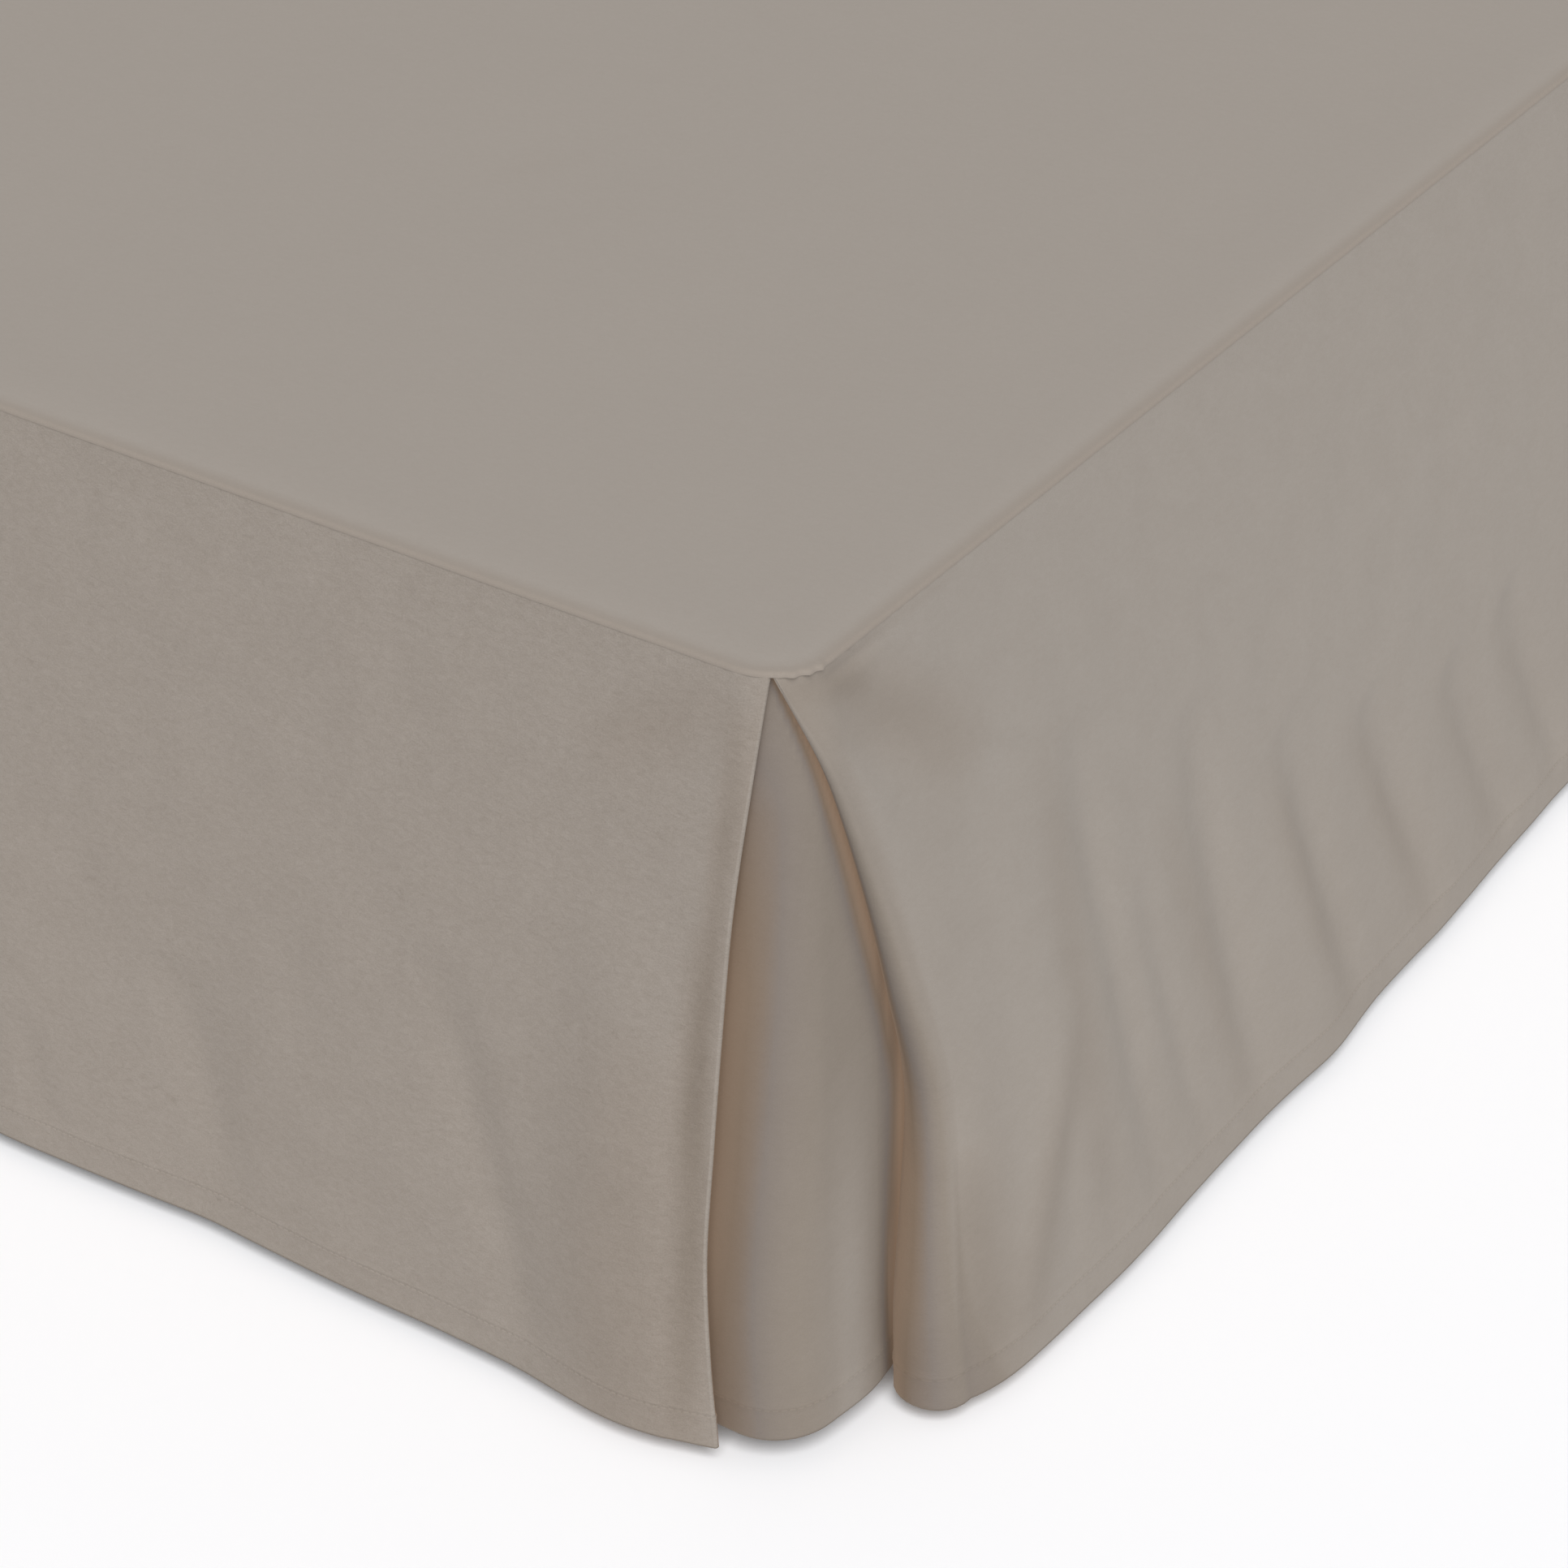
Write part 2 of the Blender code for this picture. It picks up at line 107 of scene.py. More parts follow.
footPanel = {
    "flare": 0.0128,
    "flareEase": 0.0,
    "settle": 0.012,
    "edgeSet": 0.0088,  # how much further out the edge stands at the hem
    "rippleHeight": 0.00028,
    "seed": 9,
}

# What the open panels share
openCloth = {
    "flarePower": 1.1,
    "easeAt": 0.46,  # distance from the mouth
    "easeOver": 0.05,
    "softOver": 0.02,  # folds and ripples grow to their full height this far from the edge
    "rippleLength": 0.06,
    "rippleOver": 0.03,  # ripples grow over this distance under the seam
    "hemRipple": 0.6,  # the share of them that is left at the hem
    "hemRippleOver": 0.05,
}

# Soft folds that grow towards the hem
foldColumns = ("startShare", "startAlong", "hemAlong", "halfWidth", "height")
sideFolds = (
    (0.45, 0.170, 0.185, 0.038, 0.0020),
    (0.45, 0.315, 0.350, 0.032, 0.0042),
    (0.50, 0.440, 0.470, 0.050, 0.0018),
    (0.45, 0.590, 0.600, 0.045, -0.0012),
    (0.40, 0.720, 0.710, 0.050, 0.0020),
    (0.50, 0.890, 0.900, 0.045, -0.0016),
    (0.45, 1.060, 1.045, 0.050, 0.0022),
    (0.40, 1.210, 1.220, 0.045, -0.0014),
    (0.50, 1.370, 1.360, 0.050, 0.0020),
    (0.45, 1.530, 1.540, 0.045, -0.0014),
    (0.50, 1.690, 1.680, 0.050, 0.0018),
)
footFolds = (
    (0.30, 0.060, 0.066, 0.034, 0.0066),
    (0.50, 0.262, 0.270, 0.034, -0.0024),
    (0.50, 0.375, 0.372, 0.050, 0.0030),
    (0.50, 0.520, 0.530, 0.050, -0.0014),
    (0.45, 0.630, 0.620, 0.045, 0.0016),
)
softFold = {
    "startWidth": 0.6,  # share of its half width that a fold starts with
    "highestAt": 0.72,  # share of its length where a fold is highest
}

# Narrower creases that die out at both ends: each runs from one place to another, along and down
# the drop in metres
creaseColumns = ("fromAlong", "fromDown", "toAlong", "toDown", "halfWidth", "height")
sideCreases = (
    (0.152, 0.200, 0.098, 0.345, 0.012, 0.0020),
    (0.128, 0.100, 0.148, 0.310, 0.022, 0.0026),
    (0.172, 0.100, 0.207, 0.338, 0.011, -0.0036),
    (0.212, 0.190, 0.246, 0.338, 0.008, -0.0020),
    (0.255, 0.135, 0.294, 0.338, 0.013, -0.0044),
    (0.327, 0.180, 0.382, 0.340, 0.013, -0.0048),
    (0.402, 0.205, 0.463, 0.338, 0.013, -0.0052),
    (0.480, 0.225, 0.540, 0.340, 0.013, -0.0048),
    (0.540, 0.218, 0.600, 0.335, 0.013, -0.0048),
    (0.640, 0.210, 0.690, 0.338, 0.013, -0.0040),
    (0.745, 0.185, 0.775, 0.338, 0.013, -0.0034),
    (0.860, 0.220, 0.915, 0.338, 0.014, -0.0040),
    (0.985, 0.175, 1.010, 0.338, 0.014, -0.0034),
    (1.110, 0.210, 1.150, 0.338, 0.014, -0.0038),
    (1.270, 0.195, 1.290, 0.338, 0.015, -0.0034),
    (1.420, 0.220, 1.465, 0.338, 0.014, -0.0038),
    (1.590, 0.195, 1.600, 0.338, 0.014, -0.0034),
    (1.740, 0.225, 1.770, 0.338, 0.014, -0.0034),
    (0.142, 0.250, 0.138, 0.338, 0.006, -0.0007),
    (0.170, 0.275, 0.168, 0.338, 0.006, -0.0007),
)
footCreases = (
    (0.151, 0.165, 0.103, 0.340, 0.013, -0.0026),
    (0.284, 0.220, 0.254, 0.340, 0.013, -0.0022),
    (0.364, 0.280, 0.354, 0.340, 0.008, -0.0012),
    (0.500, 0.220, 0.470, 0.340, 0.013, -0.0022),
    (0.620, 0.240, 0.630, 0.340, 0.013, -0.0020),
    (0.300, 0.075, 0.170, 0.098, 0.005, -0.00028),
    (0.330, 0.105, 0.290, 0.108, 0.004, -0.00022),
)
creaseEnds = 0.7  # a higher power dies out further from the ends
# Beside the mouth, where the seam pulls the cloth
mouthCreases = (
    (-0.006, 0.007, 0.070, 0.006, 0.0035, -0.0010),
    (0.002, 0.002, 0.066, 0.105, 0.0060, 0.0014),
    (0.012, 0.004, 0.095, 0.085, 0.0130, -0.0018),
)
mouthEnds = 2.0


def smoothCurve(places, values, at):
    # a smooth line through the points of a short table
    slopes = np.gradient(values, places)
    index = np.clip(np.searchsorted(places, at) - 1, 0, len(places) - 2)
    width = places[index + 1] - places[index]
    u = (at - places[index]) / width
    start = (1 + 2 * u) * (1 - u) ** 2 * values[index] + u * (1 - u) ** 2 * width * slopes[index]
    end = u * u * (3 - 2 * u) * values[index + 1] + u * u * (u - 1) * width * slopes[index + 1]
    return start + end


def edgeAt(name, share):
    table = np.array(edgeTable)
    return float(smoothCurve(table[:, 0], table[:, edgeColumns.index(name)], share))


def alongRail(along, out):
    # along is the distance from the pleat's mouth on the deck's outline, positive to the head
    along = np.asarray(along, float)
    out = np.asarray(out, float)
    radius = bed["cornerRadius"]
    centreX = bed["halfWidth"] - radius
    centreY = radius - bed["halfLength"]
    angle = np.clip(along / radius - pleat["mouthAngle"], -math.pi / 2, 0)
    x = centreX + (radius + out) * np.cos(angle)
    y = centreY + (radius + out) * np.sin(angle)
    x = np.where(along < -footArc, centreX + along + footArc, x)
    y = np.where(along > sideArc, centreY + along - sideArc, y)
    return x, y


def foldField(folds, along, share, shift):
    total = np.zeros_like(along)
    narrow = softFold["startWidth"]
    for row in folds:
        fold = dict(zip(foldColumns, row))
        grown = (share - fold["startShare"]) / (1 - fold["startShare"])
        if grown <= 0:
            continue
        centre = fold["startAlong"] + (fold["hemAlong"] - fold["startAlong"]) * grown + shift
        reach = (along - centre) / (fold["halfWidth"] * (narrow + (1 - narrow) * grown))
        rise = math.sin(math.pi / 2 * grown / softFold["highestAt"])
        total += fold["height"] * rise * np.exp(-reach * reach)
    return total


def creaseField(creases, ends, along, down):
    total = np.zeros_like(along)
    for row in creases:
        crease = dict(zip(creaseColumns, row))
        start = np.array((crease["fromAlong"], crease["fromDown"]))
        run = np.array((crease["toAlong"], crease["toDown"])) - start
        length = np.hypot(*run)
        run = run / length
        pastAlong = along - start[0]
        pastDown = down - start[1]
        forward = (pastAlong * run[0] + pastDown * run[1]) / length
        aside = pastAlong * run[1] - pastDown * run[0]
        fade = np.clip(4 * forward * (1 - forward), 0, 1) ** ends  # 0 at both ends, 1 midway
        total += crease["height"] * fade * np.exp(-((aside / crease["halfWidth"]) ** 2))
    return total


unevenness = {
    "waves": 14,
    "sizes": (0.6, 1.8),  # of the wavelength that is asked for
    "downSqueeze": 0.7,
}


def rippleField(along, down, seed, wavelength):
    # a soft uneven surface from waves in all directions, the same each time
    picks = np.random.RandomState(seed)
    total = np.zeros_like(along)
    for _ in range(unevenness["waves"]):
        turn = picks.uniform(0, math.pi)
        size = wavelength * picks.uniform(*unevenness["sizes"])
        phase = picks.uniform(0, 2 * math.pi)
        wave = along * math.cos(turn) + down * unevenness["downSqueeze"] * math.sin(turn)
        total += np.sin(2 * math.pi * wave / size + phase)
    return total / math.sqrt(unevenness["waves"])


def underlayOut(along, share):
    base = pleat["outerLayer"] - 2 * pleat["layerPitch"]
    ridge = pleat["ridge"] * np.exp(-(((along - pleat["ridgeAt"]) / pleat["ridgeOver"]) ** 2))
    return base + share ** pleat["underlayPower"] * (pleat["underlaySet"] + ridge)


def roundTurn(start, end, outward, steps):
    # a round turn from one layer to the next, bulging by half the distance between them
    u = np.arange(1, steps) / steps
    bulge = 2 * u * (1 - u) * outward * abs(end[1] - start[1])
    ease = u * u * (3 - 2 * u)
    return start[0] + (end[0] - start[0]) * u + bulge, start[1] + (end[1] - start[1]) * ease


def pleatSide(side, share):
    # one side of the pleat at one height
    isSide = side == "side"
    panel = sidePanel if isSide else footPanel
    closed = pleat["layerPitch"] / 2
    half = closed + (edgeAt("rollHalf", share) if isSide else 0.0)
    middle = pleat["outerLayer"] - closed + panel["edgeSet"] * share
    middle += edgeAt("rollOut", share) if isSide else 0.0
    return {
        "panel": panel,
        "way": 1 if isSide else -1,
        "share": share,
        "half": half,
        "middle": middle,
        "edge": pleat["mouthGap"] / 2 + edgeAt(side, share) + half,
    }


def frontOut(side, back, shift, down):
    panel = side["panel"]
    share = side["share"]
    edgeOut = side["middle"] + side["half"]
    fromEdge = np.maximum(0.0, back - side["edge"])
    eased = 1 / (1 + np.exp(-(back - openCloth["easeAt"]) / openCloth["easeOver"]))
    fullOut = pleat["outerLayer"] + panel["flare"] * share ** openCloth["flarePower"]
    fullOut = fullOut - panel["flareEase"] * share * eased
    rise = 1 - np.exp(-fromEdge / panel["settle"])
    isSide = side["way"] > 0
    soft = foldField(sideFolds if isSide else footFolds, back, share, shift)
    soft += creaseField(sideCreases if isSide else footCreases, creaseEnds, back - shift, down)
    if isSide:
        soft += creaseField(mouthCreases, mouthEnds, back, down)
    hold = np.clip(down / openCloth["rippleOver"], 0, 1)
    hold *= np.clip((1 - share) / openCloth["hemRippleOver"] + openCloth["hemRipple"], 0, 1)
    ripple = rippleField(back, down, panel["seed"], openCloth["rippleLength"])
    soft += panel["rippleHeight"] * hold * ripple
    return edgeOut + (fullOut - edgeOut) * rise + soft * np.clip(fromEdge / openCloth["softOver"], 0, 1)


def behindOut(side, back):
    resting = underlayOut(side["way"] * back, side["share"]) + pleat["layerPitch"]
    edgeOut = side["middle"] - side["half"]
    fromEdge = np.maximum(0.0, back - side["edge"])
    swing = np.exp(-((fromEdge / pleat["returnSwing"]) ** pleat["returnPower"]))
    return resting + (edgeOut - resting) * swing


def pulledUp(side, back):
    reach = np.clip((back - side["edge"]) / pleat["raiseOver"], 0, 1)
    return pleat["hiddenRaise"] * side["share"] * reach


# Painted shade on the open panels: soft darker places under the seam, beside the pleat and along the creases,
# laid as the creases are, with a depth for the height
sideShades = (
    (-0.004, -0.008, 0.116, 0.084, 0.017, 0.12),
    (0.026, 0.008, 0.104, 0.062, 0.012, 0.03),
    (0.002, 0.002, 0.050, 0.020, 0.007, 0.12),
    (0.006, 0.003, 0.110, 0.004, 0.003, 0.05),
    (0.150, 0.090, 0.166, 0.330, 0.013, 0.07),
    (0.150, 0.220, 0.103, 0.342, 0.012, 0.09),
    (0.078, 0.235, 0.080, 0.400, 0.017, 0.15),
    (0.070, 0.060, 0.085, 0.420, 0.030, 0.035),
    (0.232, 0.160, 0.284, 0.345, 0.011, 0.06),
    (0.312, 0.185, 0.372, 0.345, 0.012, 0.07),
    (0.386, 0.205, 0.456, 0.345, 0.012, 0.07),
    (0.462, 0.220, 0.528, 0.345, 0.012, 0.04),
    (0.522, 0.215, 0.592, 0.340, 0.013, 0.03),
)
footShades = (
    (0.011, 0.010, 0.032, 0.220, 0.005, 0.15),
    (0.026, 0.110, 0.033, 0.365, 0.007, 0.19),
    (0.012, 0.010, 0.080, 0.060, 0.014, 0.06),
    (-0.010, -0.010, 0.014, 0.085, 0.008, 0.10),
    (0.050, 0.160, 0.058, 0.430, 0.030, 0.11),
)

# How deep the painted shade lies on the cloth, from 0 on the open panels to 1 in the pleat's crease
paintedShadeDepth = {
    "within": 0.27,  # in the middle of the underlay
    "hidden": 0.9,  # just behind an edge
    "inwardTurn": (0.5, 0.7),  # an edge's turn goes from its own depth to hidden between these
    # painted shade at distances from the foot panel's edge and from the roll, and across the roll itself
    "fromFoot": ((0.0, 0.82), (0.004, 0.78), (0.009, 0.68), (0.014, 0.46), (0.020, 0.32), (0.026, 0.25)),
    "fromRoll": ((0.004, 1.0), (0.0065, 0.95), (0.012, 0.78), (0.0185, 0.46), (0.025, 0.28), (0.029, 0.25)),
    "onRoll": ((0.0, 0.62), (0.15, 0.54), (0.40, 0.33), (1.0, 0.0)),
    "rollReach": 0.014,
    "hemReach": 0.032,  # added to the roll's reach towards the hem
    "hemPower": 6,
    # how strong or wide each is at shares of the drop
    "footShares": ((0.0, 0.1), (0.08, 0.3), (0.18, 0.7), (0.3, 0.9), (0.4, 1.0), (0.75, 1.0), (1.0, 0.75)),
    "footWidths": ((0.0, 0.8), (0.1, 1.1), (0.18, 1.35), (0.28, 1.55), (0.42, 1.6), (0.66, 1.5), (0.85, 1.3)),
    "rollWidths": ((0.0, 0.2), (0.15, 0.45), (0.35, 0.7), (0.65, 0.7), (0.8, 0.6), (1.0, 0.5)),
    "rollShares": ((0.0, 0.2), (0.15, 0.3), (0.35, 0.55), (0.5, 0.75), (0.7, 1.2), (0.85, 1.2), (1.0, 1.0)),
    # painted shade on the side panels, darker towards the hem
    "sideHemShade": ((0.0, 0.0), (0.5, 0.0), (0.75, 0.015), (1.0, 0.03)),  # the side panels' own depth
    # the underlay's ridge stands out into the light
    "litAt": 0.038,
    "litWidth": 0.016,
    "litShares": ((0.0, 0.0), (0.5, 0.0), (0.62, 0.3), (0.80, 0.75), (1.0, 0.8)),
}


# reads a painted shade table at a distance or a share of the drop
def shadeBetween(pairs, distance):
    places, paintedShades = zip(*pairs)
    return np.interp(distance, places, paintedShades)


def underlayShade(along, share, sideEdge, footEdge):
    # painted shade on the underlay: the deeper of what the two edges give, less where the ridge stands out
    # into the light
    within = paintedShadeDepth["within"]
    width = shadeBetween(paintedShadeDepth["footWidths"], share)
    near = shadeBetween(paintedShadeDepth["fromFoot"], (along + footEdge) / width) - within
    near = near * shadeBetween(paintedShadeDepth["footShares"], share)
    width = shadeBetween(paintedShadeDepth["rollWidths"], share)
    far = shadeBetween(paintedShadeDepth["fromRoll"], (sideEdge - along) / width) - within
    lit = np.exp(-(((along - paintedShadeDepth["litAt"]) / paintedShadeDepth["litWidth"]) ** 2))
    lit *= shadeBetween(paintedShadeDepth["litShares"], share)
    return within + np.maximum(near, far) - within * lit


def rollShade(distance, share):
    # distance is measured round the cloth from the roll's outermost line
    reach = paintedShadeDepth["rollReach"] + paintedShadeDepth["hemReach"] * share ** paintedShadeDepth["hemPower"]
    depth = shadeBetween(paintedShadeDepth["onRoll"], distance / reach)
    return depth * shadeBetween(paintedShadeDepth["rollShares"], share)


def turnShade(side, count):
    # painted shade from the front layer round to the hidden one, deeper as it turns inwards
    turn = np.arange(1, count + 1) / (count + 1)
    distance = np.clip(0.5 - turn, 0, 0.5) * math.pi * side["half"]
    inward = np.interp(turn, paintedShadeDepth["inwardTurn"], (0, 1))
    return rollShade(distance, side["share"]) * (1 - inward) + paintedShadeDepth["hidden"] * inward


# painted shade on the open panels: on the side from the roll, the shades and towards the hem, on the foot
# from its shades
def frontShade(side, back, down):
    if side["way"] < 0:
        return np.clip(creaseField(footShades, creaseEnds, back, down), 0, 1)
    distance = math.pi / 2 * side["half"] + np.maximum(0.0, back - side["edge"])
    depth = rollShade(distance, side["share"]) + creaseField(sideShades, creaseEnds, back, down)
    return np.clip(depth + shadeBetween(paintedShadeDepth["sideHemShade"], side["share"]), 0, 1)


# The steps of each sheet's grid
sheetGrid = {
    "firstStep": 0.0014,
    "stepGrowth": 1.12,
    "nearStep": 0.0045,
    "nearEnd": 0.66,
    "farStep": 0.0085,
    "headMargin": 0.08,  # the steps stop this far short, and one last column is the head end
    "sideTurn": 14,
    "footTurn": 10,
    "innerTurn": 6,
    "underlayStep": 0.0026,
    "underlayFrom": 0.056,
    "underlayPast": 0.004,
    "behindSteps": 10,
    "rows": 88,
    "seamBand": 0.018,  # closer rows just under the seam, for its puckers
    "seamRows": 14,
    "stitchRows": (-0.0009, -0.0003, 0.0003, 0.0009),
    "stitchMargin": 0.002,
    "hemRows": 6,
    "middleGap": 0.004,  # between the two halves of the foot panel's UV map
}
returnShares = np.array([0, 0.02, 0.05, 0.085, 0.12, 0.16, 0.21, 0.27, 0.35, 0.45, 0.6, 0.8, 1.0])


def runStations(end):
    # steps that grow away from the pleat, then long even ones
    near = [0.0]
    step = sheetGrid["firstStep"]
    while near[-1] < sheetGrid["nearEnd"]:
        near.append(near[-1] + step)
        step = min(step * sheetGrid["stepGrowth"], sheetGrid["nearStep"])
    far = np.linspace(near[-1], end, int((end - near[-1]) / sheetGrid["farStep"]) + 2)
    return np.concatenate([near, far[1:]])


def underlayStations(first, last):
    # close steps between the pleat's edges, and a few longer ones behind each panel
    stop = -footArc - sheetGrid["underlayPast"]
    around = np.arange(sheetGrid["underlayFrom"], stop, -sheetGrid["underlayStep"])
    count = sheetGrid["behindSteps"]
    lead = first + (around[0] - first) * np.arange(count) / count
    tail = around[-1] + (last - around[-1]) * np.arange(1, count + 1) / count
    return np.concatenate([lead, around, tail])


def edgeTurn(side, frontAtEdge, steps):
    # round the pleat's edge, from the front layer to the one behind it
    behindAtEdge = float(behindOut(side, side["edge"]))
    return roundTurn((side["edge"], frontAtEdge), (side["edge"], behindAtEdge), -1, steps)


def sideRow(share, down, shift):
    # a side panel at one height, from the head end to the underlay's end behind the foot panel
    side = pleatSide("side", share)
    foot = pleatSide("foot", share)
    stations = runStations(headRun - sheetGrid["headMargin"])[::-1]
    backs = np.concatenate([[headRun], side["edge"] + stations[1:]])
    fronts = frontOut(side, backs, shift, down)
    turned = edgeTurn(side, fronts[-1], sheetGrid["sideTurn"])
    returning = side["edge"] + pleat["depth"] * returnShares
    behind = behindOut(side, returning)
    last = returning[-1]
    lastOut = float(underlayOut(last, share))
    inner = roundTurn((last, behind[-1]), (last, lastOut), 1, sheetGrid["innerTurn"])
    under = underlayStations(last, -(foot["edge"] + pleat["depth"] - pleat["layerPitch"]))
    along = np.concatenate([backs, turned[0], returning, inner[0], under])
    out = np.concatenate([fronts, turned[1], behind, inner[1], underlayOut(under, share)])
    hidden = pleat["hiddenRaise"] * share
    up = np.concatenate([
        0 * backs,
        0 * turned[0],
        pulledUp(side, returning),
        hidden + 0 * inner[0],
        hidden + 0 * under,
    ])
    # painted shade for each column
    depth = np.concatenate([
        frontShade(side, backs, down),
        turnShade(side, len(turned[0])),
        1 + 0 * returning,
        1 + 0 * inner[0],
        underlayShade(under, share, side["edge"], foot["edge"]),
    ])
    x, y = alongRail(along, out)
    return x, y, up, depth, along


def footRow(share, down):
    # half the foot panel at one height, from its hidden return to the bed's middle
    side = pleatSide("foot", share)
    returning = (side["edge"] + pleat["depth"] * returnShares)[::-1]
    behind = behindOut(side, returning)
    stations = runStations(middleRun)
    backs = side["edge"] + (middleRun - side["edge"]) * stations[:-1] / stations[-1]
    fronts = frontOut(side, backs, 0.0, down)
    turned = edgeTurn(side, fronts[0], sheetGrid["footTurn"])
    along = np.concatenate([returning, turned[0][::-1], backs])
    out = np.concatenate([behind, turned[1][::-1], fronts])
    up = np.concatenate([pulledUp(side, returning), 0 * turned[0], 0 * backs])
    # painted shade: full behind the edge and on the turn's inner half
    turnedIn = np.arange(len(turned[0]))[::-1] >= len(turned[0]) / 2
    depth = np.concatenate([1 + 0 * returning, turnedIn, frontShade(side, backs, down)])
    x, y = alongRail(-along, out)
    return x, y, up, depth, along


sewing = {
    "thickness": 0.0011,
    "singleShare": 0.64,  # cloth above the hem is this share of the hem's thickness
    "hemDepth": 0.015,
    "grooveDepth": 0.00028,
    "grooveWidth": 0.0011,
    "puckerHeight": 0.00016,
    "hemPuckerWidth": 0.007,
    "seamPuckerWidth": 0.008,
    "seamPucker": 0.7,  # as a share of the hem's
    "mouthPucker": 2.0,  # added beside the pleat's mouth
    "mouthWidth": 0.045,
    "puckerLength": 0.0093,
    "drift": 2.2,  # the puckers come closer and further apart by this, in radians
    "driftLength": 0.021,
    "evenShare": 0.55,  # the rest of their height comes and goes
    "comeAndGoLength": 0.047,
    "comeAndGoStart": 1.3,
    "smoothAngle": math.radians(42),
}


def dropRows():
    # heights of the sheet's rows as distances down from the seam, closer at the hem's stitching
    drop = bed["panelTop"] - bed["hemHeight"]
    line = drop - sewing["hemDepth"]
    band = sheetGrid["seamBand"]
    nearSeam = np.linspace(0, band, sheetGrid["seamRows"], endpoint=False)
    body = np.linspace(band, line - sheetGrid["stitchMargin"], sheetGrid["rows"])
    stitch = [line + offset for offset in sheetGrid["stitchRows"]]
    hem = np.linspace(line + sheetGrid["stitchMargin"], drop, sheetGrid["hemRows"])
    return np.concatenate([nearSeam, body, stitch, hem]), drop


def finishSheet(thing):
    bpy.ops.object.select_all(action="DESELECT")
    thing.select_set(True)
    bpy.context.view_layer.objects.active = thing
    for modifier in list(thing.modifiers):
        bpy.ops.object.modifier_apply(modifier=modifier.name)
    bpy.ops.object.shade_smooth_by_angle(angle=sewing["smoothAngle"])


def clothMesh(name, points, us, vs, paintedShades, hemRows):
    # points, us, vs and painted shades are grids, rows down and columns along
    shape = bmesh.new()
    rows, columns = points.shape[:2]
    grid = [[shape.verts.new(points[r, c]) for c in range(columns)] for r in range(rows)]
    uv = shape.loops.layers.uv.new("cloth")
    for r in range(rows - 1):
        for c in range(columns - 1):
            corners = ((r, c), (r, c + 1), (r + 1, c + 1), (r + 1, c))
            face = shape.faces.new([grid[i][j] for i, j in corners])
            for loop, (i, j) in zip(face.loops, corners):
                loop[uv].uv = (us[i, j], vs[i, j])
    mesh = bpy.data.meshes.new(name)
    shape.to_mesh(mesh)
    shape.free()
    # painted shade for the material, from 0 on the open cloth to 1 in the pleat's crease
    paintedFoldShade = mesh.attributes.new("paintedFoldShade", "FLOAT", "POINT")
    paintedFoldShade.data.foreach_set("value", paintedShades.reshape(-1).astype(np.float32))
    thing = bpy.data.objects.new(name, mesh)
    bpy.context.scene.collection.objects.link(thing)
    group = thing.vertex_groups.new(name="hem")
    for r in range(rows):
        if hemRows[r] > 0:
            group.add(list(range(r * columns, (r + 1) * columns)), hemRows[r], "REPLACE")
    solid = thing.modifiers.new("thickness", "SOLIDIFY")
    solid.thickness = sewing["thickness"]
    solid.offset = 0.0
    solid.use_even_offset = True
    solid.vertex_group = "hem"
    solid.thickness_vertex_group = sewing["singleShare"]
    finishSheet(thing)
    return thing


def bell(distance, width):
    return np.exp(-((distance / width) ** 2))


def hemRelief(down, drop, run, along):
    # how far the sewing draws the cloth in, at the stitch line and just under the seam, which
    # puckers most beside the pleat's mouth
    line = drop - sewing["hemDepth"]
    groove = -sewing["grooveDepth"] * bell(down - line, sewing["grooveWidth"])
    atMouth = 1 + sewing["mouthPucker"] * bell(along, sewing["mouthWidth"])
    near = bell(down - line, sewing["hemPuckerWidth"])
    near = near + sewing["seamPucker"] * atMouth * bell(down, sewing["seamPuckerWidth"])
    drift = sewing["drift"] * np.sin(run / sewing["driftLength"])
    waves = np.sin(2 * math.pi * run / sewing["puckerLength"] + drift)
    comeAndGo = np.sin(run / sewing["comeAndGoLength"] + sewing["comeAndGoStart"])
    waves = waves * (sewing["evenShare"] + (1 - sewing["evenShare"]) * comeAndGo)
    return groove + sewing["puckerHeight"] * near * waves


def clothGrid(makeRow):
    downs, drop = dropRows()
    line = drop - sewing["hemDepth"]
    rows, paintedShades, alongs = [], [], []
    for down in downs:
        x, y, up, depth, along = makeRow(down / drop, down)
        z = bed["panelTop"] - down + up
        rows.append(np.stack([x, y, z], axis=-1))
        paintedShades.append(depth)
        alongs.append(along)
    points = np.array(rows)
    middle = points[len(downs) // 2]
    runs = np.concatenate([[0], np.cumsum(np.linalg.norm(np.diff(middle, axis=0), axis=1))])
    us = np.tile(runs, (len(downs), 1))
    vs = np.tile((drop - downs)[:, None], (1, points.shape[1]))
    # offsets along the surface's own normal for the sewing
    acrossDirection = np.gradient(points, axis=1)
    downDirection = np.gradient(points, axis=0)
    normals = np.cross(downDirection, acrossDirection)
    normals /= np.maximum(np.linalg.norm(normals, axis=2, keepdims=True), 1e-12)
    for i, down in enumerate(downs):
        points[i] += normals[i] * hemRelief(down, drop, us[i], alongs[i])[:, None]
    hemRows = [1.0 if down > line else 0.0 for down in downs]
    return points, us, vs, np.array(paintedShades), hemRows


def buildSide(name, mirrored, shift):
    points, us, vs, paintedShades, hemRows = clothGrid(lambda share, down: sideRow(share, down, shift))
    points[:, :, 1] += bed["centreY"]
    if mirrored:
        points[:, :, 0] *= -1
        points, us, vs, paintedShades = points[:, ::-1], us[:, ::-1], vs[:, ::-1], paintedShades[:, ::-1]
    return clothMesh(name, points, us, vs, paintedShades, hemRows)


